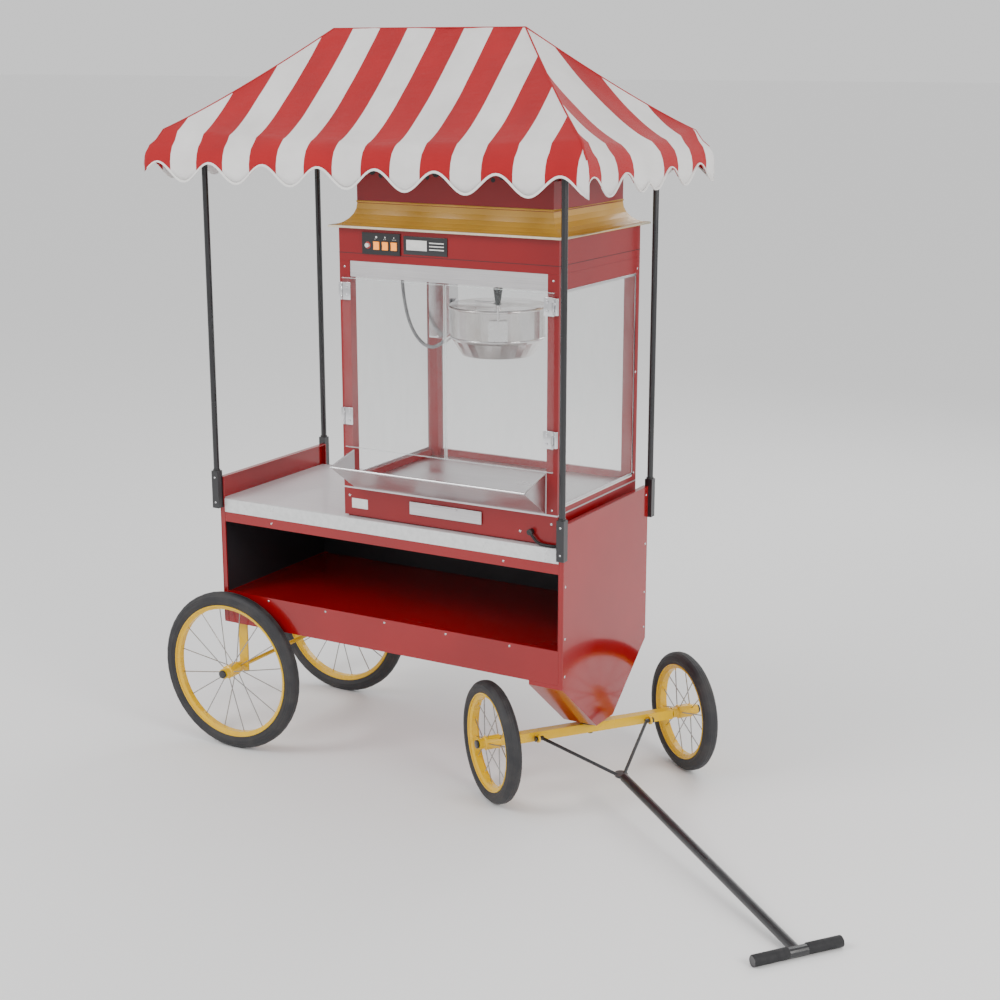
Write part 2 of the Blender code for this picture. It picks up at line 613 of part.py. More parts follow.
def cabinet_frame(root, red):
    """Four corner posts tied by the bottom and top rails of the sides and the back."""
    low, high = FRAME_FOOT, HOUSING_LOW - GAP
    posts = []
    for x in (CAB_X0, CAB_X1 - POST_X):
        for y in (CAB_Y0, CAB_Y1 - POST_Y):
            posts.append(block((x, y, low), (x + POST_X, y + POST_Y, high)))
    rails = []
    for z0, z1 in ((low, low + RAIL_HIGH), (TOP_RAIL_LOW, high)):
        for x in (CAB_X0, CAB_X1 - 0.012):
            rails.append(block((x, CAB_Y0 + 0.01, z0), (x + 0.012, CAB_Y1 - 0.01, z1)))
        rails.append(block((CAB_X0 + 0.01, CAB_Y1 - 0.012, z0), (CAB_X1 - 0.01, CAB_Y1, z1)))
    add("cabinet_frame", fused(posts[0], *posts[1:], *rails), red, root)


def glazing(root, glass):
    z0, z1 = FRAME_FOOT + RAIL_HIGH + GAP, TOP_RAIL_LOW - GAP
    y0, y1 = CAB_Y0 + POST_Y + GAP, CAB_Y1 - POST_Y - GAP
    add("glass_left", block((CAB_X0 + 0.003, y0, z0), (CAB_X0 + 0.003 + GLASS, y1, z1)), glass, root)
    add("glass_right", block((CAB_X1 - 0.003 - GLASS, y0, z0), (CAB_X1 - 0.003, y1, z1)), glass, root)
    x0, x1 = CAB_X0 + POST_X + GAP, CAB_X1 - POST_X - GAP
    add("glass_back", block((x0, CAB_Y1 - 0.003 - GLASS, z0), (x1, CAB_Y1 - 0.003, z1)), glass, root)


def doors(root, glass):
    """Two clear doors in front of the posts, each about an upright pin near its outer edge."""
    middle, meeting = (CAB_X0 + CAB_X1) / 2, 0.0015
    for name, pin_x, far in (
        ("door_left", CAB_X0 + DOOR_PIN_IN, middle - meeting),
        ("door_right", CAB_X1 - DOOR_PIN_IN, middle + meeting),
    ):
        near = pin_x + math.copysign(0.001, far - pin_x)
        x0, x1 = sorted((near, far))
        pane = block((x0, DOOR_Y0, DOOR_Z0), (x1, DOOR_Y1, DOOR_Z1))
        add(name, pane, glass, root, at=(pin_x, DOOR_PIN_Y, DOOR_Z0))


def housing(root, red, steel, gold):
    """The top housing with its stainless ceiling, the flared roof and the crest box on it."""
    wall = 0.003
    ring = carved(
        block((CAB_X0, CAB_Y0, HOUSING_LOW), (CAB_X1, CAB_Y1, HOUSING_TOP)),
        [block((CAB_X0 + wall, CAB_Y0 + wall, 1.5), (CAB_X1 - wall, CAB_Y1 - wall, 1.7))],
    )
    add("top_housing", ring, red, root)
    x0, x1 = CAB_X0 + POST_X + GAP, CAB_X1 - POST_X - GAP
    front, back = CAB_Y0 + 0.002, CAB_Y1 - 0.012 - GAP
    top = CEILING_Z + SHEET
    section = [
        (front, TOP_RAIL_LOW), (front + 0.003, TOP_RAIL_LOW), (front + 0.003, CEILING_Z), (back, CEILING_Z),
        (back, top), (front, top),
    ]
    shaft_hole = cylinder((KETTLE_X, KETTLE_Y, 1.5), (KETTLE_X, KETTLE_Y, 1.6), 0.0095, 16)
    add("ceiling_panel", carved(prism(section, "X", x0, x1), [shaft_hole]), steel, root)
    roof_skirt(root, gold)
    low = HOUSING_TOP + ROOF_HIGH + 2 * GAP
    inset = ROOF_INSET
    cx0, cx1, cy0, cy1 = CAB_X0 + inset, CAB_X1 - inset, CAB_Y0 + inset, CAB_Y1 - inset
    box = block((cx0, cy0, low), (cx1, cy1, CREST_WALL))
    inside = block((cx0 + WALL, cy0 + WALL, low - 0.01), (cx1 - WALL, cy1 - WALL, CREST_WALL - WALL))
    crests = [crest_strip(cx0, cx1, cy0), crest_strip(cx0, cx1, cy1 - WALL)]
    add("roof_crest", carved(fused(box, *crests), [inside]), red, root)


def crest_strip(x0, x1, y):
    """An upright strip with a scalloped top edge, standing on the crest box's front or back wall."""
    lobes, points = 6, 6
    low, valley = CREST_WALL - 0.004, CREST_WALL + 0.010
    outline = [(x0, low), (x1, low)]
    for lobe in range(lobes):
        for n in range(points):
            t = (lobe * points + n) / (lobes * points)
            lift = abs(math.sin(math.pi * t * lobes))
            outline.append((x1 - t * (x1 - x0), valley + (CREST_TOP - valley) * lift))
    outline.append((x0, valley))
    return prism(outline, "Y", y, y + WALL)


def roof_skirt(root, gold):
    """The hollow-flared roof: level rectangles that shrink quickly at first and then rise steeply."""
    shape = bmesh.new()
    rings = []
    steps = 6
    reach = ROOF_OVERHANG + ROOF_INSET
    for n in range(steps + 1):
        angle = math.pi / 2 * n / steps
        inward = reach * math.sin(angle) - ROOF_OVERHANG
        z = HOUSING_TOP + GAP + ROOF_EDGE + (ROOF_HIGH - ROOF_EDGE) * (1 - math.cos(angle))
        x0, x1, y0, y1 = CAB_X0 + inward, CAB_X1 - inward, CAB_Y0 + inward, CAB_Y1 - inward
        corners = ((x0, y0), (x1, y0), (x1, y1), (x0, y1))
        if n == 0:
            rings.append([shape.verts.new((x, y, HOUSING_TOP + GAP)) for x, y in corners])
        rings.append([shape.verts.new((x, y, z)) for x, y in corners])
    for lower, upper in zip(rings, rings[1:]):
        for n in range(4):
            shape.faces.new((lower[n], lower[(n + 1) % 4], upper[(n + 1) % 4], upper[n]))
    shape.faces.new(rings[-1])
    shape.faces.new(list(reversed(rings[0])))
    bmesh.ops.recalc_face_normals(shape, faces=shape.faces)
    hollow = block(
        (CAB_X0 + ROOF_INSET + 0.004, CAB_Y0 + ROOF_INSET + 0.004, HOUSING_TOP - 0.01),
        (CAB_X1 - ROOF_INSET - 0.004, CAB_Y1 - ROOF_INSET - 0.004, HOUSING_TOP + ROOF_HIGH + 0.01),
    )
    add("roof_skirt", carved(shape, [hollow]), gold, root)


def lid_half(rear):
    """Half of the flat lid, with a notch for the agitator's shaft. The rear half reaches the rim, to join it."""
    low = KETTLE_RIM_Z - 0.0002 if rear else LID_Z
    high = LID_Z + LID_THICK
    disc = cylinder((KETTLE_X, KETTLE_Y, low), (KETTLE_X, KETTLE_Y, high), LID_RADIUS, 32)
    y0, y1 = (-0.2, LID_HINGE_Y + 0.0004) if rear else (LID_HINGE_Y - 0.0004, 0.2)
    away = block((KETTLE_X - 0.2, y0, low - 0.01), (KETTLE_X + 0.2, y1, high + 0.01))
    notch = cylinder((KETTLE_X, KETTLE_Y, low - 0.01), (KETTLE_X, KETTLE_Y, high + 0.01), 0.014, 16)
    return carved(disc, [away, notch])


def kettle_gear(root, steel, black, dark):
    """The kettle with its lid, dump handle and agitator, and the column and shaft that carry and drive it."""
    rim = KETTLE_RIM_Z
    pot = turned(
        [
            (0.0, rim - 0.140), (0.104, rim - 0.140), (0.108, rim - 0.134), (0.130, rim - 0.098),
            (0.136, rim - 0.092), (0.136, rim - 0.008), (0.142, rim - 0.006), (0.142, rim), (0.133, rim),
            (0.133, rim - 0.090), (0.1265, rim - 0.097), (0.105, rim - 0.1345), (0.0, rim - 0.136),
        ],
        (KETTLE_X, KETTLE_Y, 0), 32,
    )
    trunnion = cylinder((0.1060, TILT_Y, TILT_Z), (COLUMN_X1 + 0.0006, TILT_Y, TILT_Z), 0.010, 16)
    gland_end = Vector(KETTLE_LEAD_ROUTE[-1]) + Vector((0.0003, 0, 0.00022))
    gland = cylinder(gland_end, gland_end + Vector((0.8, 0, 0.6)) * 0.034, 0.009, 12)
    bowl = turned(
        [
            (0.0, rim - 0.1355), (0.1045, rim - 0.134), (0.126, rim - 0.0965), (0.1325, rim - 0.0895),
            (0.1325, rim + 0.0004), (0.0, rim + 0.0004),
        ],
        (KETTLE_X, KETTLE_Y, 0), 32,
    )
    at = (KETTLE_X, TILT_Y, TILT_Z)
    # The lid's rear half is fixed to the rim, so it belongs to the kettle's own body.
    pot = carved(fused(pot, trunnion, gland), [bowl])
    add("kettle", fused(pot, lid_half(True)), steel, root, at=at, smooth=True)
    add("kettle_lid", lid_half(False), steel, root, at=(KETTLE_X, LID_HINGE_Y, LID_Z + LID_THICK))
    knob_y = KETTLE_Y - HANDLE_OUT
    plate = block(
        (KETTLE_X - 0.027, knob_y - 0.002, rim - 0.082), (KETTLE_X + 0.027, knob_y + 0.0125, rim - 0.025)
    )
    stem = cylinder((KETTLE_X, knob_y, rim - 0.030), (KETTLE_X, knob_y, rim + 0.025), 0.0035, 12)
    knob_low, knob_top = (KETTLE_X, knob_y, rim + 0.020), (KETTLE_X, knob_y, rim + 0.068)
    knob = cylinder(knob_low, knob_top, 0.0065, 16, end_radius=0.0135)
    handle = fused(plate, stem, knob)
    round_kettle = Matrix.Rotation(HANDLE_TURN, 3, "Z")
    bmesh.ops.rotate(handle, verts=handle.verts, cent=(KETTLE_X, KETTLE_Y, 0), matrix=round_kettle)
    add("dump_handle", handle, black, root, at=at)
    shaft = cylinder((KETTLE_X, KETTLE_Y, 1.2710), (KETTLE_X, KETTLE_Y, 1.4180), 0.005, 12)
    blades = [
        block((KETTLE_X - 0.092, KETTLE_Y - 0.006, 1.2680), (KETTLE_X + 0.092, KETTLE_Y + 0.006, 1.2740)),
        block((KETTLE_X - 0.006, KETTLE_Y - 0.060, 1.2690), (KETTLE_X + 0.006, KETTLE_Y + 0.060, 1.2730)),
    ]
    add("agitator", fused(shaft, *blades), steel, root, at=(KETTLE_X, KETTLE_Y, KETTLE_RIM_Z))
    column = block((COLUMN_X0, COLUMN_Y0, COLUMN_LOW), (COLUMN_X1, COLUMN_Y1, CEILING_Z - GAP))
    add("drive_column", column, steel, root)
    spindle = cylinder((KETTLE_X, KETTLE_Y, 1.430), (KETTLE_X, KETTLE_Y, CEILING_Z + SHEET), 0.006, 12)
    socket = cylinder((KETTLE_X, KETTLE_Y, 1.4215), (KETTLE_X, KETTLE_Y, 1.445), 0.011, 16)
    add("drive_shaft", fused(socket, spindle), steel, root, at=(KETTLE_X, KETTLE_Y, CEILING_Z))
    low = CEILING_Z + SHEET + GAP
    gearbox = block((KETTLE_X - 0.045, -0.040, low), (KETTLE_X + 0.045, 0.040, low + 0.028))
    can = cylinder((KETTLE_X, 0.0, low + 0.020), (KETTLE_X, 0.0, low + 0.083), 0.036, 20)
    add("drive_motor", fused(gearbox, can), dark, root)


def lamp(root, glass):
    bulb = turned(
        [(0.0, 1.4565), (0.018, 1.4585), (0.030, 1.468), (0.034, 1.482), (0.030, 1.498), (0.016, 1.512),
         (0.016, CEILING_Z - GAP), (0.0, CEILING_Z - GAP)],
        (*LAMP_SPOT, 0), 16,
    )
    add("heat_lamp", bulb, glass, root, smooth=True)


def controls(root, black, amber, white):
    """The control plate on the fascia, with three lit rockers and a round reset button in its windows."""
    plate = block((-0.062, PLATE_Y0, 1.554), (0.063, PLATE_Y1, 1.614))
    windows = []
    for x in ROCKER_X:
        windows.append(
            block(
                (x - ROCKER_HALF_W - SWITCH_SLACK, -0.26, SWITCH_Z - ROCKER_HALF_H - SWITCH_SLACK),
                (x + ROCKER_HALF_W + SWITCH_SLACK, -0.24, SWITCH_Z + ROCKER_HALF_H + SWITCH_SLACK),
            )
        )
    windows.append(cylinder((BUTTON_X, -0.26, SWITCH_Z), (BUTTON_X, -0.24, SWITCH_Z), 0.0065, 20))
    add("control_plate", carved(plate, windows), black, root)
    h = ROCKER_HALF_H
    section = [
        (-0.2490, SWITCH_Z - h * 0.5), (-0.2515, SWITCH_Z - h), (-0.2548, SWITCH_Z - h), (-0.2540, SWITCH_Z),
        (-0.2556, SWITCH_Z + h), (-0.2515, SWITCH_Z + h), (-0.2490, SWITCH_Z + h * 0.5),
    ]
    names = ("rocker_lamp", "rocker_kettle_heat", "rocker_kettle_motor")
    for name, x in zip(names, ROCKER_X):
        shape = prism(section, "X", x - ROCKER_HALF_W, x + ROCKER_HALF_W)
        add(name, shape, amber, root, at=(x, -0.2515, SWITCH_Z))
    cap = cylinder((BUTTON_X, -0.2585, SWITCH_Z), (BUTTON_X, -0.2512, SWITCH_Z), 0.0060, 20)
    add("reset_button", cap, white, root, at=(BUTTON_X, -0.2550, SWITCH_Z), smooth=True)


def leads(root, grey, black):
    lead("kettle_lead", KETTLE_LEAD_ROUTE, KETTLE_LEAD_RADIUS, 0.022, grey, root)
    lead("mains_lead", MAINS_ROUTE, MAINS_RADIUS, 0.012, black, root)
    start = Vector(MAINS_ROUTE[0]) + Vector((-0.6, 0, 0.8)) * GAP
    boss = cylinder((0.480, CAB_Y0 - GAP, 0.8225), (0.480, -0.2625, 0.8225), 0.0085, 16)
    neck = cylinder(start, start + Vector((-0.6, 0, 0.8)) * 0.010, 0.0055, 12, end_radius=0.0065)
    add("strain_relief", fused(boss, neck), black, root, smooth=True)
    coil = turned(
        [
            (COIL_INNER, SHELF_TOP + GAP), (COIL_OUTER, SHELF_TOP + GAP),
            (COIL_OUTER, SHELF_TOP + COIL_HIGH), (COIL_INNER, SHELF_TOP + COIL_HIGH),
        ],
        (COIL_X, COIL_Y, 0), 32,
    )
    first = Vector(MAINS_ROUTE[-1]) + Vector((0, GAP, 0))
    tail = Vector((COIL_X, COIL_Y + COIL_TURN, SHELF_TOP + COIL_HIGH - 0.0055))
    plug_end = tail - Vector((COIL_TAIL, 0, 0))
    into = cylinder(first, (first.x, COIL_Y - 0.020, first.z), MAINS_RADIUS + 0.0001, 12)
    out = cylinder(tail + Vector((-0.018, 0, 0)), plug_end, MAINS_RADIUS + 0.0001, 12)
    add("mains_coil", fused(coil, into, out), black, root)
    plug_start = plug_end - Vector((GAP, 0, 0))
    barrel_end = plug_start - Vector((PLUG_LENGTH, 0, 0))
    neck = cylinder(plug_start, plug_start - Vector((0.014, 0, 0)), 0.0055, 12, end_radius=0.0085)
    barrel_start = plug_start - Vector((0.012, 0, 0))
    barrel = cylinder(barrel_start, barrel_end, 0.0105, 20, end_radius=PLUG_RADIUS - 0.0005)
    pins = []
    for lift in (-1, 1):
        y, z = barrel_end.y, barrel_end.z
        low = (barrel_end.x - 0.017, y + lift * 0.0063 - 0.0008, z - 0.0032)
        pins.append(block(low, (barrel_end.x + 0.003, y + lift * 0.0063 + 0.0008, z + 0.0032)))
    add("mains_plug", fused(barrel, neck, *pins), black, root)


def main():
    clear_scene()
    red = paint("wagon_red", (0.42, 0.02, 0.025), 0.25)
    dark = paint("cabinet_black", (0.02, 0.02, 0.022), 0.5)
    black = paint("tube_black", (0.012, 0.012, 0.014), 0.3)
    laminate = paint("deck_laminate", (0.68, 0.63, 0.66), 0.35)
    trim = paint("deck_trim", (0.85, 0.86, 0.85), 0.3, 0.3)
    cloth = paint("canopy_cloth", (0.72, 0.08, 0.07), 0.9)
    yellow = paint("wheel_yellow", (0.80, 0.52, 0.03), 0.35)
    rubber = paint("tyre_rubber", (0.02, 0.02, 0.023), 0.75)
    steel = paint("stainless", (0.62, 0.62, 0.63), 0.22, 1.0)
    gold = paint("roof_gold", (0.62, 0.42, 0.12), 0.4, 0.6)
    glass = paint("clear_panel", (0.9, 0.95, 0.95), 0.05, 0.0, 0.3)
    amber = paint("lit_rocker", (0.95, 0.35, 0.03), 0.3)
    white = paint("button_white", (0.85, 0.80, 0.78), 0.4)
    grey = paint("kettle_conduit", (0.35, 0.35, 0.36), 0.35, 0.5)

    turn = Matrix.Rotation(STEER, 3, "Z")
    grip_ends = [Vector((FRONT_X, 0, 0)) + turn @ Vector((GRIP_X, s * GRIP_HALF, 0)) for s in (-1, 1)]
    across = turn @ Vector((GRIP_RADIUS, 0, 0))
    reach_x = max(p.x for p in grip_ends) + abs(across.x)
    reach_y = min(p.y for p in grip_ends) - abs(across.y)
    centre_x = (REAR_X - REAR_RADIUS + reach_x) / 2
    centre_y = (reach_y + EAVE_HALF_Y) / 2
    root = empty("wagon_frame", (-centre_x, -centre_y, 0))

    wagon_body(root, red, dark, laminate, trim)
    canopy_posts(root, black)
    canopy_frame(root, black)
    canopy_cover(root, cloth)
    rear_gear(root, rubber, yellow)
    axle = front_gear(root, rubber, yellow, dark)
    drawbar(axle, black)
    cabinet_base(root, red, steel)
    spill_tray(root, steel)
    cabinet_frame(root, red)
    glazing(root, glass)
    doors(root, glass)
    housing(root, red, steel, gold)
    kettle_gear(root, steel, black, dark)
    lamp(root, white)
    controls(root, black, amber, white)
    leads(root, grey, black)


main()
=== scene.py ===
# %% [markdown]
# # A popcorn machine on its wagon
#
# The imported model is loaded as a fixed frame. This script adds what a solid model leaves out: the camera and
# the light, the leads at their real length, the sewn striped canopy, the trim, hinges, screws and icons, and a
# procedural material for every surface. Lengths are metres. Loading comes first, because most places below are
# worked out from the boxes of the frame's own nodes.

# %% the frame
import json
import math

import bmesh
import bpy
from mathutils import Matrix, Vector, noise


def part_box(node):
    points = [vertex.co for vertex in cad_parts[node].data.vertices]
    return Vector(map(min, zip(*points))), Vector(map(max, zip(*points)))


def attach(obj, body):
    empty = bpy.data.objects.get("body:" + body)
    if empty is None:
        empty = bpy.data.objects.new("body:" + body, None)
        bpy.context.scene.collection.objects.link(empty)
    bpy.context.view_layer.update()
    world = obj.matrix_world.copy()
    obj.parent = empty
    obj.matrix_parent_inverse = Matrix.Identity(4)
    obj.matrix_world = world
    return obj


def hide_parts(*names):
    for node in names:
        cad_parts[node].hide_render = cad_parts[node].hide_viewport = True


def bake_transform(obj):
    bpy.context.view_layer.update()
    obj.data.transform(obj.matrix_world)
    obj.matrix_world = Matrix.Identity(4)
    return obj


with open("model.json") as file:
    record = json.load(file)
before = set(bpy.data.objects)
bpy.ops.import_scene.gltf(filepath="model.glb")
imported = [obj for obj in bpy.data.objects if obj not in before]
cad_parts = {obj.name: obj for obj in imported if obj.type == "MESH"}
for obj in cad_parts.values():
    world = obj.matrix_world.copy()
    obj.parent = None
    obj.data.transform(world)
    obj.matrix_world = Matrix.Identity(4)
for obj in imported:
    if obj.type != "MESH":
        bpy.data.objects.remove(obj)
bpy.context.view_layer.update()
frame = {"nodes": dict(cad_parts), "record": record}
nodes = frame["nodes"]

# %% [markdown]
# ## Places on the wagon
#
# A wagon is laid out from its own middle, so places are given in the wagon's frame: its body's middle is at
# X = Y = 0, the operator stands on the -Y side, and the drawbar leaves on the +X side. They could be given in
# the loaded frame's coordinates instead, but then left and right would no longer mirror about zero.

# %% places
panel_low, panel_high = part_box("end_panel_right")
left_low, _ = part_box("end_panel_left")
MIDDLE = Vector(((left_low[0] + panel_high[0]) / 2, (panel_low[1] + panel_high[1]) / 2, 0))
X, Y, Z = Vector((1, 0, 0)), Vector((0, 1, 0)), Vector((0, 0, 1))


def place(x, y, z):
    """A point of the wagon's frame, in the row's frame."""
    return MIDDLE + Vector((x, y, z))


def box(node):
    """A CAD node's lowest and highest corner in the wagon's frame."""
    return [Vector(corner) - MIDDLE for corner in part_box(node)]


def joint(name):
    """A joint's row in the record, by its name."""
    return next(j for j in frame["record"]["behaviour"]["joints"] if j["name"] == name)


print("wagon middle", tuple(round(v, 4) for v in MIDDLE))

# %% [markdown]
# ## Camera
#
# The camera looks down on the front right corner, from where the doors, the storage bay and the drawbar all
# show. Its direction is given by two angles and its distance apart from them, because an angle is easier to
# adjust than a place in space.

# %% camera
CAMERA_AZIMUTH, CAMERA_ELEVATION = math.radians(29.858), math.radians(14.242)
CAMERA_TARGET, CAMERA_DISTANCE, CAMERA_LENS = (0.237, 0.0, 0.826), 5.190, 63.67
SENSOR_WIDTH = 36


def set_camera():
    back = Vector(
        (
            math.sin(CAMERA_AZIMUTH) * math.cos(CAMERA_ELEVATION),
            -math.cos(CAMERA_AZIMUTH) * math.cos(CAMERA_ELEVATION),
            math.sin(CAMERA_ELEVATION),
        )
    )
    data = bpy.data.cameras.new("camera")
    data.lens = CAMERA_LENS
    data.sensor_width = SENSOR_WIDTH
    camera = bpy.data.objects.new("camera", data)
    camera.location = place(*CAMERA_TARGET) + back * CAMERA_DISTANCE
    camera.rotation_euler = back.to_track_quat("Z", "Y").to_euler()
    bpy.context.scene.collection.objects.link(camera)
    bpy.context.scene.camera = camera


set_camera()
print("camera", tuple(round(v, 3) for v in bpy.context.scene.camera.location))

# %% [markdown]
# ## Floor
#
# A studio floor is a pale sheet that runs on out of sight. A large flat grid does that. A curved backdrop would
# hide its far edge better, but it would stand in the way of views from behind.

# %% floor
FLOOR_HALF = 120
FLOOR_WHITE = 0.93


def lay_floor():
    shape = bmesh.new()
    bmesh.ops.create_grid(shape, x_segments=1, y_segments=1, size=FLOOR_HALF)
    mesh = bpy.data.meshes.new("studio_floor")
    shape.to_mesh(mesh)
    shape.free()
    floor = bpy.data.objects.new("studio_floor", mesh)
    bpy.context.scene.collection.objects.link(floor)
    pale = bpy.data.materials.new("studio_floor")
    pale.use_nodes = True
    shader = pale.node_tree.nodes["Principled BSDF"]
    shader.inputs["Base Color"].default_value = (FLOOR_WHITE, FLOOR_WHITE, FLOOR_WHITE, 1)
    shader.inputs["Roughness"].default_value = 0.7
    mesh.materials.append(pale)


lay_floor()
print("floor", 2 * FLOOR_HALF, "m across")

# %% [markdown]
# ## Light
#
# Enamel and steel show their shape by what they reflect, so the light is three large soft discs rather than
# small lamps, which would leave hard spots. An even surround fills the shadows.

# %% light
SURROUND_STRENGTH = 0.95


def soft_light(name, spot, aim, size, power, colour=(1, 1, 1)):
    data = bpy.data.lights.new(name, "AREA")
    data.shape, data.size, data.energy, data.color = "DISK", size, power, colour
    light = bpy.data.objects.new(name, data)
    light.location = place(*spot)
    light.rotation_euler = (place(*aim) - light.location).to_track_quat("-Z", "Y").to_euler()
    bpy.context.scene.collection.objects.link(light)


world = bpy.data.worlds.new("studio")
world.use_nodes = True
world.node_tree.nodes["Background"].inputs["Color"].default_value = (1.0, 1.0, 1.0, 1)
world.node_tree.nodes["Background"].inputs["Strength"].default_value = SURROUND_STRENGTH
bpy.context.scene.world = world
soft_light("key", (-2.6, -4.2, 4.4), (0, 0, 0.9), 2.4, 150)
soft_light("side", (4.6, -1.6, 2.6), (0.2, 0, 0.9), 2.0, 95, (1.0, 0.98, 0.95))
soft_light("back", (0.6, 4.4, 3.6), (0, 0, 1.0), 2.4, 60)
print("lights", len(bpy.data.lights))

# %% [markdown]
# ## From a mesh to a piece
#
# A piece of trim is shaped as a bmesh in the wagon's frame. Then it becomes an object at the origin that rides
# on one of the model's bodies, so that it moves when its joint does. Small repeats, such as a row of screws,
# are joined first, so that they make one piece.

# %% pieces
SHARP_ANGLE = math.radians(38)


def piece(name, shape, coat, body="wagon", smooth=True):
    """Makes an object of a bmesh and has it ride on a body, unless that is None."""
    bmesh.ops.translate(shape, verts=shape.verts, vec=MIDDLE)
    mesh = bpy.data.meshes.new(name)
    shape.to_mesh(mesh)
    shape.free()
    if smooth:
        mesh.shade_smooth()
        mesh.set_sharp_from_angle(angle=SHARP_ANGLE)
    mesh.materials.append(coat)
    made = bpy.data.objects.new(name, mesh)
    bpy.context.scene.collection.objects.link(made)
    if body:
        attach(made, body)
    return made


def joined(*shapes):
    """One bmesh that holds all the given ones, which are used up."""
    whole = bmesh.new()
    for shape in shapes:
        mesh = bpy.data.meshes.new("part")
        shape.to_mesh(mesh)
        shape.free()
        whole.from_mesh(mesh)
        bpy.data.meshes.remove(mesh)
    return whole


# %% [markdown]
# ## Slabs and rods
#
# Strips, plates and labels are boxes, and pins, caps and heads are rods. Both start from an operator's shape
# and have their edges bevelled, because a real edge is never quite sharp and catches a line of light.

# %% slabs and rods


def slab(low, high, edge=0.0):
    """A box between two corners, with its edges rounded by edge."""
    shape = bmesh.new()
    bmesh.ops.create_cube(shape, size=1.0)
    low, high = Vector(low), Vector(high)
    bmesh.ops.scale(shape, verts=shape.verts, vec=high - low)
    bmesh.ops.translate(shape, verts=shape.verts, vec=(low + high) / 2)
    if edge:
        bmesh.ops.bevel(
            shape, geom=shape.edges, offset=edge, segments=3, profile=0.5, affect="EDGES", material=-1
        )
    return shape


def rod(start, end, radius, sides=24, edge=0.0):
    """A round rod between two points, with its rims rounded by edge."""
    start, end = Vector(start), Vector(end)
    along = end - start
    shape = bmesh.new()
    bmesh.ops.create_cone(
        shape, cap_ends=True, segments=sides, radius1=radius, radius2=radius, depth=along.length
    )
    if edge:
        rims = [e for e in shape.edges if any(len(f.verts) > 4 for f in e.link_faces)]
        bmesh.ops.bevel(shape, geom=rims, offset=edge, segments=2, profile=0.5, affect="EDGES", material=-1)
    turn = along.to_track_quat("Z", "Y").to_matrix().to_4x4()
    bmesh.ops.transform(shape, matrix=Matrix.Translation((start + end) / 2) @ turn, verts=shape.verts)
    return shape


print("slab and rod ready, corner bevels of 3 and 2 segments")

# %% [markdown]
# ## Tubes
#
# Beads, piping, hems and leads follow a path. A bevelled curve would sweep a round tube, but a flattened
# binding and a tube that closes on itself without a seam are easier from rings of points, each turned as little
# as it can be from the one before, so that the tube doesn't twist.

# %% tubes


def tube(path, radius, sides=12, closed=False, flat=1.0):
    """A tube along a path, round or flattened across, with filled ends unless it closes on itself."""
    path = [Vector(p) for p in path]
    shape = bmesh.new()
    rings = []
    count = len(path)
    across = None
    for n, point in enumerate(path):
        before = path[n - 1] if closed or n else point
        after = path[(n + 1) % count] if closed or n < count - 1 else point
        along = (after - before).normalized()
        if across is None:
            across = along.cross(Vector((0, 0, 1)) if abs(along.z) < 0.9 else Vector((0, 1, 0))).normalized()
        across = (across - along * across.dot(along)).normalized()
        up = across.cross(along)
        angles = [math.tau * k / sides for k in range(sides)]
        ring = [point + (across * math.cos(a) * flat + up * math.sin(a)) * radius for a in angles]
        rings.append([shape.verts.new(p) for p in ring])
    pairs = list(zip(rings, rings[1:])) + ([(rings[-1], rings[0])] if closed else [])
    for lower, upper in pairs:
        for k in range(sides):
            shape.faces.new((lower[k], lower[(k + 1) % sides], upper[(k + 1) % sides], upper[k]))
    if not closed:
        shape.faces.new(rings[0])
        shape.faces.new(rings[-1])
    bmesh.ops.recalc_face_normals(shape, faces=shape.faces)
    return shape


def circle(centre, first, second, radius, count):
    """Points round a circle that lies in the plane of two unit directions."""
    turns = [math.tau * k / count for k in range(count)]
    return [Vector(centre) + (first * math.cos(a) + second * math.sin(a)) * radius for a in turns]


def rectangle(low, high, z):
    """The corners of a box's outline at one height."""
    return [(low.x, low.y, z), (high.x, low.y, z), (high.x, high.y, z), (low.x, high.y, z)]


print("tube ready, a circle of", len(circle(MIDDLE, X, Y, 1.0, 12)), "points closes on itself")

# %% [markdown]
# ## Smooth routes
#
# A lead bends where it is laid, without corners. A smooth curve through a few marked places gives that: each
# stretch is a cubic whose slope at a place follows the two places beside it.

# %% routes


def smooth_route(points, spacing):
    """Points about spacing apart along a smooth curve through the given ones."""
    points = [Vector(p) for p in points]
    padded = [2 * points[0] - points[1], *points, 2 * points[-1] - points[-2]]
    made = []
    for before, first, second, after in zip(padded, padded[1:], padded[2:], padded[3:]):
        pieces = max(1, round((second - first).length / spacing))
        for step in range(pieces):
            t = step / pieces
            made.append(
                0.5 * (
                    2 * first
                    + (second - before) * t
                    + (2 * before - 5 * first + 4 * second - after) * t * t
                    + (3 * first - before - 3 * second + after) * t**3
                )
            )
    return [*made, points[-1]]


def path_length(path):
    return sum((b - a).length for a, b in zip(path, path[1:]))


print("a straight metre measures", round(path_length([Vector((0, 0, 0)), X]), 3))

# %% [markdown]
# ## Shader maths
#
# A pattern such as rings or stripes is a formula on a point's coordinates. `Sock` wraps one output socket, so
# that the formula reads as a formula and its Math nodes are added behind it. The same could be wired up node by
# node, which takes several lines for every sign.

# %% shader maths


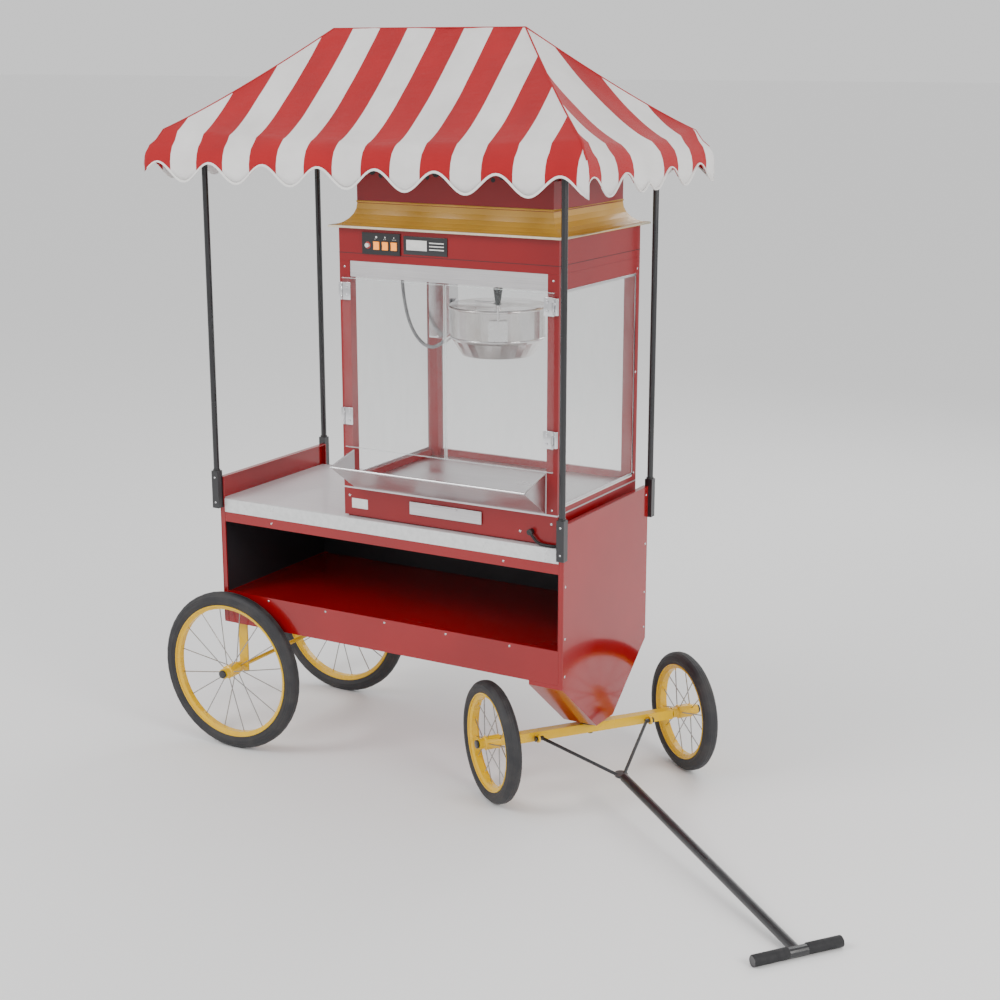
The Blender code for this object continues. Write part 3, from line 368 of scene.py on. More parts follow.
class Sock:
    """One output socket of the material being made. Arithmetic on it adds Math nodes."""

    def __init__(self, tree, out):
        self.tree, self.out = tree, out

    def node(self, kind, inputs=(), out=0, **settings):
        """Adds a node, sets it up, feeds its inputs from sockets or constants, and wraps an output."""
        made = self.tree.nodes.new(kind)
        for name, value in settings.items():
            setattr(made, name, value)
        for key, value in dict(inputs).items():
            if isinstance(value, Sock):
                self.tree.links.new(value.out, made.inputs[key])
            else:
                made.inputs[key].default_value = value
        return Sock(self.tree, made.outputs[out])

    def math(self, operation, *others):
        return self.node("ShaderNodeMath", enumerate((self, *others)), operation=operation)

    def __add__(self, other):
        return self.math("ADD", other)

    def __sub__(self, other):
        return self.math("SUBTRACT", other)

    def __rsub__(self, other):
        return self.node("ShaderNodeMath", {0: other, 1: self}, operation="SUBTRACT")

    def __mul__(self, other):
        return self.math("MULTIPLY", other)

    def __truediv__(self, other):
        return self.math("DIVIDE", other)

    def __rtruediv__(self, other):
        return self.node("ShaderNodeMath", {0: other, 1: self}, operation="DIVIDE")

    __radd__, __rmul__ = __add__, __mul__

    def above(self, edge, soft=0.0002):
        """0 below edge and 1 above it, with a narrow ramp between."""
        ramp = {"Value": self, "From Min": edge - soft, "From Max": edge + soft}
        return self.node("ShaderNodeMapRange", ramp)

    def below(self, edge, soft=0.0002):
        """1 below edge and 0 above it."""
        return 1 - self.above(edge, soft)

    def split(self):
        """The three coordinates of a vector."""
        made = self.tree.nodes.new("ShaderNodeSeparateXYZ")
        self.tree.links.new(self.out, made.inputs[0])
        return [Sock(self.tree, made.outputs[k]) for k in range(3)]

    def scaled(self, x, y, z):
        return self.node("ShaderNodeMapping", {"Vector": self, "Scale": (x, y, z)})

    def noise(self, scale, detail=3.0, rough=0.55):
        inputs = {"Vector": self, "Scale": scale, "Detail": detail, "Roughness": rough}
        return self.node("ShaderNodeTexNoise", inputs)

    def spread(self, low, high, from_low=0.3, from_high=0.7):
        """Stretches a noise to run from low to high."""
        ramp = {"Value": self, "From Min": from_low, "From Max": from_high, "To Min": low, "To Max": high}
        return self.node("ShaderNodeMapRange", ramp)

    def mix(self, first, second):
        """A colour between two, by this factor."""
        inputs = {0: self, 6: first, 7: second}
        return self.node("ShaderNodeMix", inputs, out=2, data_type="RGBA")

    def bump(self, distance, strength=1.0):
        return self.node("ShaderNodeBump", {"Height": self, "Strength": strength, "Distance": distance})


def colour(r, g, b):
    return (r, g, b, 1.0)


def material(name, build, uv=False, **constants):
    """A material whose shader inputs come from build(coordinates), a dict of input name to socket."""
    made = bpy.data.materials.new(name)
    made.use_nodes = True
    tree = made.node_tree
    shader = tree.nodes["Principled BSDF"]
    for key, value in constants.items():
        shader.inputs[key.replace("_", " ")].default_value = value
    coordinates = tree.nodes.new("ShaderNodeTexCoord")
    at = Sock(tree, coordinates.outputs["UV" if uv else "Object"])
    for key, sock in build(at).items():
        tree.links.new(sock.out, shader.inputs[key])
    return made


print("Sock ready")

# %% [markdown]
# ## The mains lead's route
#
# The mains lead is 1.8 m long, as such a machine has. It leaves its gland under the cabinet, runs over the deck
# and drops beside the end panel. It ends in a coil of three turns and a quarter on the storage shelf, with its
# plug beside it. Simulating a cord would lay it too, but a marked route gives the same result each time.

# %% mains lead's route
MAINS_RADIUS, MAINS_LENGTH, MAINS_SPACING = 0.004, 1.8, 0.005
MAINS_ROUTE = (
    (0.4846, -0.2575, 0.8152), (0.4900, -0.2575, 0.8080), (0.4985, -0.2575, 0.7995), (0.5110, -0.2575, 0.7932),
    (0.5260, -0.2575, 0.7918), (0.5420, -0.2575, 0.7916), (0.5558, -0.2548, 0.7916), (0.5675, -0.2470, 0.7916),
    (0.5753, -0.2353, 0.7916), (0.5780, -0.2200, 0.7908), (0.5780, -0.2050, 0.7855), (0.5780, -0.1925, 0.7745),
    (0.5780, -0.1850, 0.7590), (0.5775, -0.1825, 0.7400), (0.5735, -0.1820, 0.7000), (0.5665, -0.1815, 0.6500),
    (0.5620, -0.1795, 0.6000), (0.5605, -0.1730, 0.5520), (0.5605, -0.1560, 0.5160), (0.5605, -0.1250, 0.4945),
    (0.5605, -0.0900, 0.4897), (0.5605, -0.0300, 0.4896), (0.5605, 0.0330, 0.4896),
)
COIL_X, COIL_Y, COIL_START = 0.4999, 0.070, 0.0606
COIL_QUARTERS, COIL_STEP = 13, 24  # three turns and a quarter, in steps of a quarter's 24th
COIL_LIFT, COIL_TAIL, TAIL_STEPS = 0.0085, 0.040, 8
CLIMB_START, CLIMB_SHARE = 0.44, 0.12  # the climb to the coil's upper layer, as shares of its turns
INNER_LOW, INNER_HIGH, INNER_TRIES = 0.036, 0.056, 24


def coil_turns(inner):
    """A flat spiral in, a climb, and a spiral out again on top, ending a quarter past the start."""
    floor = MAINS_ROUTE[-1][2]
    made = []
    steps = COIL_QUARTERS * COIL_STEP
    for n in range(steps + 1):
        t = n / steps
        angle = math.tau * COIL_QUARTERS / 4 * t
        radius = inner + (COIL_START - inner) * abs(2 * t - 1)
        climb = min(1, max(0, (t - CLIMB_START) / CLIMB_SHARE))
        lift = COIL_LIFT * climb * climb * (3 - 2 * climb)
        made.append((COIL_X + radius * math.cos(angle), COIL_Y + radius * math.sin(angle), floor + lift))
    return [Vector(p) for p in made]


def mains_path():
    """The whole lead's centreline, with the coil's inner radius found so that the lead has its length."""
    route = smooth_route(MAINS_ROUTE, MAINS_SPACING)
    low, high = INNER_LOW, INNER_HIGH
    for _ in range(INNER_TRIES):
        inner = (low + high) / 2
        turns = coil_turns(inner)
        tail = [turns[-1] - X * COIL_TAIL * k / TAIL_STEPS for k in range(1, TAIL_STEPS + 1)]
        whole = [*route, *turns, *tail]
        low, high = (inner, high) if path_length(whole) < MAINS_LENGTH else (low, inner)
    print("coil inner radius", round(inner, 4), "length", round(path_length(whole), 4))
    return whole


mains_line = mains_path()

# %% [markdown]
# ## The mains lead
#
# A mains lead is a round jacket of black rubber. A curve with a bevel sweeps exactly that, and its length can be
# measured along its points.

# %% mains lead


def curve_lead(name, path, radius, coat):
    curve = bpy.data.curves.new(name, "CURVE")
    curve.dimensions = "3D"
    curve.bevel_depth = radius
    curve.bevel_resolution = 3
    curve.use_fill_caps = True
    spline = curve.splines.new("POLY")
    spline.points.add(len(path) - 1)
    for point, spot in zip(spline.points, path):
        point.co = (*(MIDDLE + spot), 1.0)
    curve.materials.append(coat)
    made = bpy.data.objects.new(name, curve)
    bpy.context.scene.collection.objects.link(made)
    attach(made, "wagon")
    return made


def lead_jacket(at):
    grain = at.noise(900, 2).spread(0, 1)
    return {"Roughness": at.noise(60).spread(0.45, 0.62), "Normal": grain.bump(0.00008)}

black_jacket = material("lead_jacket", lead_jacket, Base_Color=colour(0.012, 0.012, 0.013))
mains = curve_lead("mains_cord", mains_line, MAINS_RADIUS, black_jacket)
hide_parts("mains_lead", "mains_coil")
MIDDLE + mains_line[0]
print("mains lead", MAINS_LENGTH, "m,", len(mains_line), "points")

# %% [markdown]
# ## The kettle's lead
#
# The kettle is heated through a flexible metal conduit that hangs from the ceiling panel to the kettle's gland.
# It is a mesh tube. Its map holds the distance along it, so that the conduit's rings stay evenly spaced round
# every bend.

# %% kettle's lead
KETTLE_LEAD_RADIUS, KETTLE_LEAD_SPACING, KETTLE_LEAD_SIDES = 0.005, 0.004, 16
KETTLE_LEAD_ROUTE = (
    (-0.0750, -0.030, 1.5282), (-0.0748, -0.030, 1.490), (-0.0725, -0.031, 1.440), (-0.0650, -0.032, 1.390),
    (-0.0500, -0.035, 1.342), (-0.0260, -0.039, 1.302), (0.0060, -0.044, 1.276), (0.0380, -0.048, 1.270),
    (0.0650, -0.050, 1.2805), (0.0842, -0.050, 1.2949),
)
CONDUIT_PITCH = 0.003


def conduit_rings(at):
    """Fine rings round the conduit, by the map's distance along it."""
    along = at.split()[0]
    ring = (along * (math.tau / CONDUIT_PITCH)).math("SINE")
    worn = at.scaled(1, 0.01, 1).noise(40).spread(0, 1)
    tone = worn.mix(colour(0.20, 0.20, 0.21), colour(0.42, 0.42, 0.43))
    return {"Base Color": tone, "Normal": ring.bump(0.0005)}


def map_along(shape, route):
    """Gives each corner of a tube its ring's distance along the route, and its place round the ring."""
    layer = shape.loops.layers.uv.new("along")
    shape.verts.index_update()
    for face in shape.faces:
        for corner in face.loops:
            ring = min(corner.vert.index // KETTLE_LEAD_SIDES, len(route) - 1)
            turn = (corner.vert.index % KETTLE_LEAD_SIDES) / KETTLE_LEAD_SIDES
            corner[layer].uv = (path_length(route[: ring + 1]), turn)


conduit = material("conduit", conduit_rings, uv=True, Metallic=0.6, Roughness=0.38)
kettle_line = smooth_route(KETTLE_LEAD_ROUTE, KETTLE_LEAD_SPACING)
kettle_tube = tube(kettle_line, KETTLE_LEAD_RADIUS, KETTLE_LEAD_SIDES)
map_along(kettle_tube, kettle_line)
kettle_cord = piece("kettle_cord", kettle_tube, conduit, None)
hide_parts("kettle_lead")
MIDDLE + kettle_line[0]
MIDDLE + kettle_line[-1]
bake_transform(kettle_cord)
MIDDLE + kettle_line[0]
path_length(kettle_line)
[MIDDLE + p for p in kettle_line]
print("kettle lead", round(path_length(kettle_line), 3), "m")

# %% [markdown]
# ## Enamel
#
# The cabinet, the roof and the running gear are sprayed enamel: a slightly uneven colour, a faint orange peel
# and softly dulled patches under a thin clear coat. One recipe with a few settings makes all of the colours.

# %% enamel


def enamel(name, base, deep, rough, coat):
    """Sprayed enamel: a slightly uneven colour, a faint orange peel and softly dulled patches."""

    def build(at):
        cloud = at.noise(3.0, 3).spread(0, 1)
        dull = at.noise(5, 4).spread(rough - 0.03, rough + 0.06)
        peel = at.noise(260, 1).bump(0.00006, 0.3)
        return {"Base Color": cloud.mix(colour(*deep), colour(*base)), "Roughness": dull, "Normal": peel}

    return material(name, build, Coat_Weight=coat, Coat_Roughness=0.06)


red_enamel = enamel("red_enamel", (0.27, 0.003, 0.006), (0.22, 0.002, 0.005), 0.30, 0.1)
gold_enamel = enamel("gold_enamel", (0.62, 0.36, 0.055), (0.52, 0.28, 0.035), 0.32, 0.15)
yellow_enamel = enamel("yellow_enamel", (0.84, 0.52, 0.002), (0.76, 0.44, 0.002), 0.25, 0.2)
black_enamel = enamel("black_enamel", (0.014, 0.014, 0.017), (0.009, 0.009, 0.011), 0.28, 0.4)
print("four enamels")

# %% [markdown]
# ## The wagon's red and its painted shade
#
# The wagon's panels are red outside, and the storage bay's back and end walls, under the deck, are near-black as
# painted shade. Each end panel is one folded sheet that shows both, so its colour is chosen by where a point
# lies:
# inside the bay, or not. A second material by face would do too, but a node's mesh stays as it was made.

# %% wagon's red and its painted shade
SHEET, FOLD = 0.003, 0.013  # the folded panels' sheet, and a little more than the front folds' depth
SHELF_TOP, DECK_TOP = box("shelf_floor")[1].z, box("deck")[1].z
# A near-black, used as painted shade inside the storage bay and as black paint on small parts.
BLACK_PAINT_AND_SHADE = (0.020, 0.020, 0.023)


def wagon_coat(at):
    """Red enamel, with painted shade: the storage bay's end walls in near-black."""
    x, y, z = at.split()
    skin = SHEET * 0.7  # the inner face lies deeper than this, and the outer one doesn't
    across = x.above(left_low[0] + skin) * x.below(panel_high[0] - skin)
    deep = y.above(panel_low[1] + FOLD) * y.below(panel_high[1] - skin)
    # Inside the bay, below the deck, the walls get near-black as painted shade, and a rougher finish.
    bay = across * deep * z.above(SHELF_TOP + 0.0015, 0.001) * z.below(DECK_TOP)
    cloud = at.noise(3.0, 3).spread(0, 1)
    red = cloud.mix(colour(0.25, 0.003, 0.005), colour(0.31, 0.004, 0.007))
    dull = at.noise(5, 4).spread(0.12, 0.21) + bay * 0.3
    return {
        "Base Color": bay.mix(red, colour(*BLACK_PAINT_AND_SHADE)),
        "Roughness": dull,
        "Normal": at.noise(260, 1).bump(0.00006, 0.3),
    }


body_red = material("wagon_red_enamel", wagon_coat, Coat_Weight=0.25, Coat_Roughness=0.05)
print("storage bay from", round(SHELF_TOP, 3), "to", round(DECK_TOP, 3), "m")

# %% [markdown]
# ## Brushed and spun metal
#
# Sheet steel is brushed along one axis, which draws its grain out into lines. A noise that is squeezed across
# the grain gives that. The kettle is spun instead, so its lines run round it, and darker patches drawn out
# upright on it are painted reflections.

# %% brushed and spun metal


def brushed(name, base=(0.72, 0.70, 0.71), stretch=(1.5, 200, 200), rough=0.32):
    """Brushed sheet metal, with its grain drawn out along one axis."""

    def build(at):
        grain = at.scaled(*stretch).noise(4.0, 4)
        smudge = at.noise(7.0, 4).spread(rough - 0.05, rough + 0.14)
        tone = grain.spread(0, 1).mix(colour(*[v * 0.82 for v in base]), colour(*base))
        return {"Base Color": tone, "Roughness": smudge, "Normal": grain.bump(0.00012, 0.5)}

    return material(name, build, Metallic=1.0)


def kettle_steel(at):
    """Spun steel with painted reflections: darker patches drawn out upright."""
    spun = at.scaled(2, 2, 260).noise(3, 4)
    # Darker upright streaks: painted reflections on the spun steel.
    painted_reflection = at.scaled(1, 1, 0.4).noise(11, 3).spread(0, 1, 0.38, 0.74)
    tone = painted_reflection.mix(colour(0.74, 0.72, 0.72), colour(0.50, 0.45, 0.41))
    return {"Base Color": tone, "Roughness": painted_reflection.spread(0.13, 0.30, 0, 1), "Normal": spun.bump(0.0001, 0.5)}


stainless = brushed("stainless")
upright_steel = brushed("upright_steel", (0.76, 0.75, 0.76), (200, 200, 1.5), 0.14)
kettle_metal = material("kettle_steel", kettle_steel, Metallic=1.0)
print("three steels")

# %% [markdown]
# ## Paint, plastic and laminate
#
# Small parts are moulded or painted smooth: worn a little, with a fine grain. The deck is a speckled laminate
# with scuffs that run along it, from things slid over it.

# %% paint, plastic and laminate


def laminate_deck(at):
    speck = at.noise(700, 2).spread(0, 1, 0.35, 0.65)
    scuff = at.scaled(2, 14, 1).noise(6, 6).spread(0.30, 0.50)
    return {"Base Color": speck.mix(colour(0.60, 0.555, 0.575), colour(0.72, 0.68, 0.69)), "Roughness": scuff}


def smooth_paint(base, rough):
    def build(at):
        worn = at.noise(11, 5).spread(rough - 0.06, rough + 0.10)
        tint = at.noise(60, 3).spread(0, 1).mix(colour(*[v * 0.85 for v in base]), colour(*base))
        return {"Base Color": tint, "Roughness": worn, "Normal": at.noise(520, 2).bump(0.00015, 0.3)}

    return build


# Near-black: painted shade on the back panel, screw slots and crest holes, and black paint on the motor, king
# pin and seam.
black_paint_and_shade = material("black_paint_and_shade", smooth_paint(BLACK_PAINT_AND_SHADE, 0.5))
laminate = material("deck_laminate", laminate_deck, Coat_Weight=0.15)
white_trim = material("white_trim", smooth_paint((0.78, 0.79, 0.79), 0.32), Metallic=0.15)
cream = material("cream_hem", smooth_paint((0.72, 0.66, 0.50), 0.4))
chrome = material("chrome", smooth_paint((0.78, 0.78, 0.80), 0.12), Metallic=1.0)
knob_black = material("knob_black", smooth_paint((0.014, 0.013, 0.014), 0.34), Coat_Weight=0.2)
white_mark = material("white_mark", smooth_paint((0.82, 0.82, 0.80), 0.5))
button_red = material("button_red", smooth_paint((0.62, 0.05, 0.04), 0.35))
gasket_white = material("gasket_white", smooth_paint((0.78, 0.77, 0.74), 0.55))
print("nine plain finishes")

# %% [markdown]
# ## Lit amber and the warm bulb
#
# The rockers are lit from inside and the heat lamp glows. An even emission over the whole lens is enough at
# this size. A lamp inside each would cost render time and show no difference.

# %% lit amber and the warm bulb


def lit_lens(at):
    """A moulded lens that is a little uneven in its shine."""
    return {"Roughness": at.noise(80, 2).spread(0.35, 0.6)}


amber = material(
    "amber_lens", lit_lens, Base_Color=colour(0.95, 0.30, 0.02), Emission_Color=colour(1.0, 0.33, 0.04),
    Emission_Strength=0.9,
)
bulb_glass = material(
    "bulb_glass", lit_lens, Base_Color=colour(0.95, 0.82, 0.55), Emission_Color=colour(1.0, 0.72, 0.36),
    Emission_Strength=1.6,
)
print("two lit finishes")

# %% [markdown]
# ## The dump handle
#
# The handle is a bright steel rod with a black knob pushed on its end. The solid is one node, so the change of
# finish is at a height, as on the wagon's panels.

# %% dump handle
KNOB_LOW = box("dump_handle")[1].z - 0.048


def knob_on_steel(at):
    """The dump handle: bright steel up to the knob's foot, and black above."""
    black = at.split()[2].above(KNOB_LOW, 0.0004)
    tone = black.mix(colour(0.74, 0.73, 0.73), colour(0.014, 0.013, 0.014))
    rough = at.noise(30).spread(0.20, 0.34)
    return {"Base Color": tone, "Metallic": black.spread(1, 0, 0, 1), "Roughness": rough}


handle_coat = material("dump_handle", knob_on_steel)
print("knob from", round(KNOB_LOW, 3), "m up")

# %% [markdown]
# ## Clear sheet
#
# The panes are clean clear sheet that shows only in its reflections and at its cut edges. Real refraction
# would darken the cabinet and slow the render, so the panes are mostly see-through, with faint smears.

# %% clear sheet


def clear_sheet(name, alpha):
    """Thin clear sheet: mostly see-through, with smears that show in the light."""

    def build(at):
        smear = at.scaled(3, 3, 1).noise(8, 5)
        return {"Roughness": smear.spread(0.03, 0.16), "Alpha": smear.spread(alpha * 0.7, alpha * 1.3)}

    made = material(name, build, Base_Color=colour(0.80, 0.86, 0.86), Specular_IOR_Level=0.7)
    made.surface_render_method = "BLENDED"
    return made


side_glass = clear_sheet("side_glass", 0.07)
door_glass = clear_sheet("door_glass", 0.035)
edge_glass = clear_sheet("edge_glass", 0.30)
print("three clear sheets")

# %% [markdown]
# ## Wheels and tyres
#
# A wheel's rim and hub are yellow, and its spokes bare. A tyre has ribs round its tread, a moulded line by the
# rim and dusty side walls. All of these are rings about the axle, so both materials work from a point's
# distance to the axle's line.

# %% wheels and tyres
RIB_PITCH = 0.0075


def wheel_offset(at, centre):
    """A point's place seen from a wheel's centre."""
    return at.node("ShaderNodeVectorMath", {0: at, 1: tuple(centre)}, operation="SUBTRACT")


def wheel_radius(at, centre, axle):
    """How far a point is from a wheel's axle line."""
    offset = wheel_offset(at, centre)
    inputs = {0: offset, 1: tuple(axle)}
    off_axis = offset.node("ShaderNodeVectorMath", inputs, operation="CROSS_PRODUCT")
    return off_axis.node("ShaderNodeVectorMath", {0: off_axis}, out="Value", operation="LENGTH")


def wheel_paint(name, centre, axle, hub, rim):
    """Yellow rim and hub, with bare steel spokes between them."""

    def build(at):
        radius = wheel_radius(at, centre, axle)
        spokes = radius.above(hub) * radius.below(rim)
        worn = at.noise(30, 4).spread(0, 1)
        paint = worn.mix(colour(0.76, 0.44, 0.002), colour(0.84, 0.52, 0.002))
        tone = spokes.mix(paint, colour(0.33, 0.32, 0.31))
        return {"Base Color": tone, "Metallic": spokes, "Roughness": at.noise(20, 4).spread(0.22, 0.38)}

    return material(name, build, Coat_Weight=0.2)


def tyre_tread(name, centre, axle, outer):
    """Ribs round the tread, a dusty side wall and a moulded line near the rim."""

    def build(at):
        radius = wheel_radius(at, centre, axle)
        inputs = {0: wheel_offset(at, centre), 1: tuple(axle)}
        across = at.node("ShaderNodeVectorMath", inputs, out="Value", operation="DOT_PRODUCT")
        ribs = (across * (math.tau / RIB_PITCH)).math("COSINE") * radius.above(outer - 0.006, 0.002)
        line = radius.above(outer - 0.019, 0.0004) * radius.below(outer - 0.0165, 0.0004)
        dust = at.noise(14, 5).spread(0, 1, 0.45, 0.8)
        tone = dust.mix(colour(0.019, 0.019, 0.022), colour(0.060, 0.056, 0.054))
        rough = dust.spread(0.58, 0.85, 0, 1)
        height = ribs * 0.5 + line + at.noise(240, 2) * 0.3
        return {"Base Color": tone, "Roughness": rough, "Normal": height.bump(0.0009, 0.8)}

    return material(name, build)


print("tread ribs", RIB_PITCH, "m apart")

# %% [markdown]
# ## Painting the solid nodes
#
# The frame's nodes get their finishes here, apart from the four that the leads and the cover replace. They are
# listed by finish, which keeps like parts together. The wheels and tyres come last, because each needs a
# material that is centred on its own axle.

# %% painting the solid nodes
WHEELS = ("rear_near", "rear_far", "front_near", "front_far")
HUB_PAINT, RIM_DEPTH = 0.023, 0.056  # the yellow hub's radius, and how far the rim's paint reaches inwards


def coat_node(name, coat):
    nodes[name].data.materials.clear()
    nodes[name].data.materials.append(coat)


def tyre_radius(wheel):
    low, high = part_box(f"{wheel}_tyre")
    return (high[2] - low[2]) / 2


coats = {
    body_red: ("end_panel_right", "end_panel_left", "front_apron", "front_skirt", "shelf_floor", "pedestal"),
    red_enamel: ("machine_base", "cabinet_frame", "top_housing", "roof_crest"),
    # The back panel's near-black is painted shade for the bay's dark back. The motor and the king pin are
    # painted black.
    black_paint_and_shade: ("back_panel", "drive_motor", "king_pin"),
    laminate: ("deck",),
    white_trim: ("deck_moulding",),
    black_enamel: (
        "canopy_post_front_left", "canopy_post_front_right", "canopy_post_back_left", "canopy_post_back_right",
        "canopy_frame", "drawbar_fork", "drawbar_handle", "control_plate",
    ),
    yellow_enamel: ("rear_axle", "front_axle"),
    stainless: ("floor_pan", "kernel_drawer", "spill_tray", "ceiling_panel"),
    upright_steel: ("drive_column", "drive_shaft"),
    gold_enamel: ("roof_skirt",),
    kettle_metal: ("kettle", "kettle_lid", "agitator"),
    knob_black: ("strain_relief", "mains_plug"),
    handle_coat: ("dump_handle",),
    side_glass: ("glass_left", "glass_right", "glass_back"),
    door_glass: ("door_left", "door_right"),
    bulb_glass: ("heat_lamp",),
    amber: ("rocker_lamp", "rocker_kettle_heat", "rocker_kettle_motor"),
    white_mark: ("reset_button",),
}
for coat, names in coats.items():
    for name in names:
        coat_node(name, coat)
for name in WHEELS:
    spin = joint(f"{name}_spin")
    centre, axle, outer = Vector(spin["pos_m"]), Vector(spin["axis"]), tyre_radius(name)
    wheel_coat = wheel_paint(f"{name}_paint", centre, axle, HUB_PAINT, outer - RIM_DEPTH)
    coat_node(f"{name}_wheel", wheel_coat)
    coat_node(f"{name}_tyre", tyre_tread(f"{name}_tread", centre, axle, outer))
print("nodes painted", sum(len(names) for names in coats.values()) + 2 * len(WHEELS))

# %% [markdown]
# ## The canopy's shape
#
# The cover is sewn over a ridge tube and four hip rods. Its shoulder is nearly upright, and between the rods
# the slopes hang hollow. Rows from the valance to the ridge give that profile directly. A cloth simulation
# would find a similar one, but not the same one each time.

# %% canopy's shape
COVER_LOW, COVER_HIGH = box("canopy_cover")
RIDGE_HALF = 0.318
SHOULDER = ((0.0, 1.800), (0.004, 1.822), (0.012, 1.842), (0.026, 1.858))  # inset from the valance, and height
EAVE, SLOPE_ROWS, SLOPE_START = 1.864, 26, 0.07
SAG = 0.030


def canopy_levels():
    """Each row's inset from the valance, its height on the hips, and how far its middle hangs below them."""
    rows = [(inset, z - 0.002, 0.0) for inset, z in SHOULDER]
    ridge = COVER_HIGH.z - 0.001
    for n in range(1, SLOPE_ROWS + 1):
        inward = SLOPE_START + (1 - SLOPE_START) * n / SLOPE_ROWS
        z = EAVE + (ridge - EAVE) * inward**1.17
        hang = SAG * math.sin(math.pi * inward**0.62)
        rows.append((COVER_HIGH.y * inward, z, hang))
    return rows


levels = canopy_levels()
print("canopy rows", len(levels), "ridge at", round(levels[-1][1], 3), "m")

# %% [markdown]
# ## Stripes and lobes
#
# Red and white stripes run from the ridge to the hem, and the hem is cut in lobes, one to each stripe. Both
# follow one phase along the eave, so a lobe always ends where its stripe does.

# %% stripes and lobes
STRIPE, END_STRIPE = 0.1865, 0.190  # one red and one white stripe, on the long sides and on the ends
STRIPE_START, END_SHIFT, END_START = 0.716, 0.035, 0.092
VALANCE_MIDDLE, VALANCE_WAVE = 1.768, 0.027


def stripe_phase(along, along_x):
    """0 to 0.5 across a red stripe and 0.5 to 1 across a white one."""
    if along_x:
        return ((along + STRIPE_START) / STRIPE) % 1.0
    return ((abs(along + END_SHIFT) - END_START) / END_STRIPE) % 1.0


def valance_edge(along, along_x):
    """The hem's height: it arcs up under a red stripe and hangs low under a white one."""
    return VALANCE_MIDDLE + VALANCE_WAVE * math.sin(math.tau * stripe_phase(along, along_x))


print("lobe every", STRIPE, "m, hem from", VALANCE_MIDDLE - VALANCE_WAVE, "m up")

# %% [markdown]
# ## The four faces of the cover
#
# Each face is rows of points from the lobed hem to the ridge, with small creases that die out at the hips,
# where the cloth is held, and a flutter in the free valance. Its map holds metres along the eave, so the
# stripes keep their width up the slope.

# %% faces of the cover
SIDE_COLUMNS, END_COLUMNS = 154, 84
END_MAP = 10  # metres added to the map on the two ends, so that the cloth can tell them from the sides
HEM, HALF_WAY = None, 0.5  # the two rows below the shoulder: the lobed edge, and midway up from it


def cloth_point(along, out, height, along_x):
    return Vector((along, out, height)) if along_x else Vector((out, along, height))


def crease_at(spot, height):
    """How far the cloth lifts here: broad creases with finer ones on them."""
    broad = noise.noise(Vector((spot.x * 7, spot.y * 7 + 3.1, height * 5))) * 0.0045
    return broad + noise.noise(Vector((spot.x * 19, spot.y * 19, height * 9))) * 0.0016


def canopy_row(shape, inset, z, hang, side):
    """One row of a face: its vertices, each with its place along the eave."""
    along_x = side in ("front", "back")
    sign = -1 if side in ("front", "left") else 1
    columns = SIDE_COLUMNS if along_x else END_COLUMNS
    half_x = COVER_HIGH.x - inset * (COVER_HIGH.x - RIDGE_HALF) / COVER_HIGH.y
    half_y = COVER_HIGH.y - inset
    run, out = (half_x, sign * half_y) if along_x else (half_y, sign * half_x)
    outward = Y * sign if along_x else X * sign
    row = []
    for n in range(columns + 1):
        u = 2 * n / columns - 1
        along = u * run
        lobe = valance_edge(along, along_x)
        height = lobe if z is HEM else (lobe + levels[0][1]) / 2 if z == HALF_WAY else z
        spot = cloth_point(along, out, height, along_x)
        free = min(1.0, (1 - abs(u)) * 6)
        if hang:
            spot.z += crease_at(spot, height) * free - hang * (1 - u * u) ** 0.8
        else:
            flutter = noise.noise(Vector((along * 9, sign * 5.0, 0.3))) * 0.0035
            flutter *= free * max(0.0, (levels[0][1] + 0.03 - height) / 0.08)
            spot += outward * (flutter - 0.004 * free)
        row.append((shape.verts.new(spot), along))
    return row


def canopy_side(shape, layer, side):
    """One face of the cover, from the valance's lobed hem to the ridge."""
    along_x = side in ("front", "back")
    turned = (side in ("front", "left")) != along_x
    rows = [canopy_row(shape, *level, side) for level in ((0.0, HEM, 0.0), (0.0, HALF_WAY, 0.0), *levels)]
    grow = 0.0
    for lower, upper in zip(rows, rows[1:]):
        middle = len(lower) // 2
        rise = (upper[middle][0].co - lower[middle][0].co).length
        top = grow + rise
        for n in range(len(lower) - 1):
            corners = [(lower[n], grow), (lower[n + 1], grow), (upper[n + 1], top), (upper[n], top)]
            if turned:
                corners.reverse()
            if len({corner[0][0].co.to_tuple(6) for corner in corners}) < 3:
                continue
            face = shape.faces.new([corner[0][0] for corner in corners])
            for loop, (corner, v) in zip(face.loops, corners):
                loop[layer].uv = (corner[1] + (0 if along_x else END_MAP), v)
        grow += rise


cover_shape = bmesh.new()
cover_map = cover_shape.loops.layers.uv.new("along")
for cover_side in ("front", "back", "left", "right"):
    canopy_side(cover_shape, cover_map, cover_side)
bmesh.ops.remove_doubles(cover_shape, verts=cover_shape.verts, dist=1e-5)
COVER_AREA = sum(face.calc_area() for face in cover_shape.faces)
print("canopy", len(cover_shape.faces), "faces,", round(COVER_AREA, 3), "square metres")

# %% [markdown]
# ## Striped cloth
#
# The cloth is woven with a fine plain weave, stitched along its stripes and faded a little by the sun. It is
# worked out from the map rather than from the point's place, because a pattern should follow the cloth.

# %% striped cloth
THREAD_PITCH = 0.0011


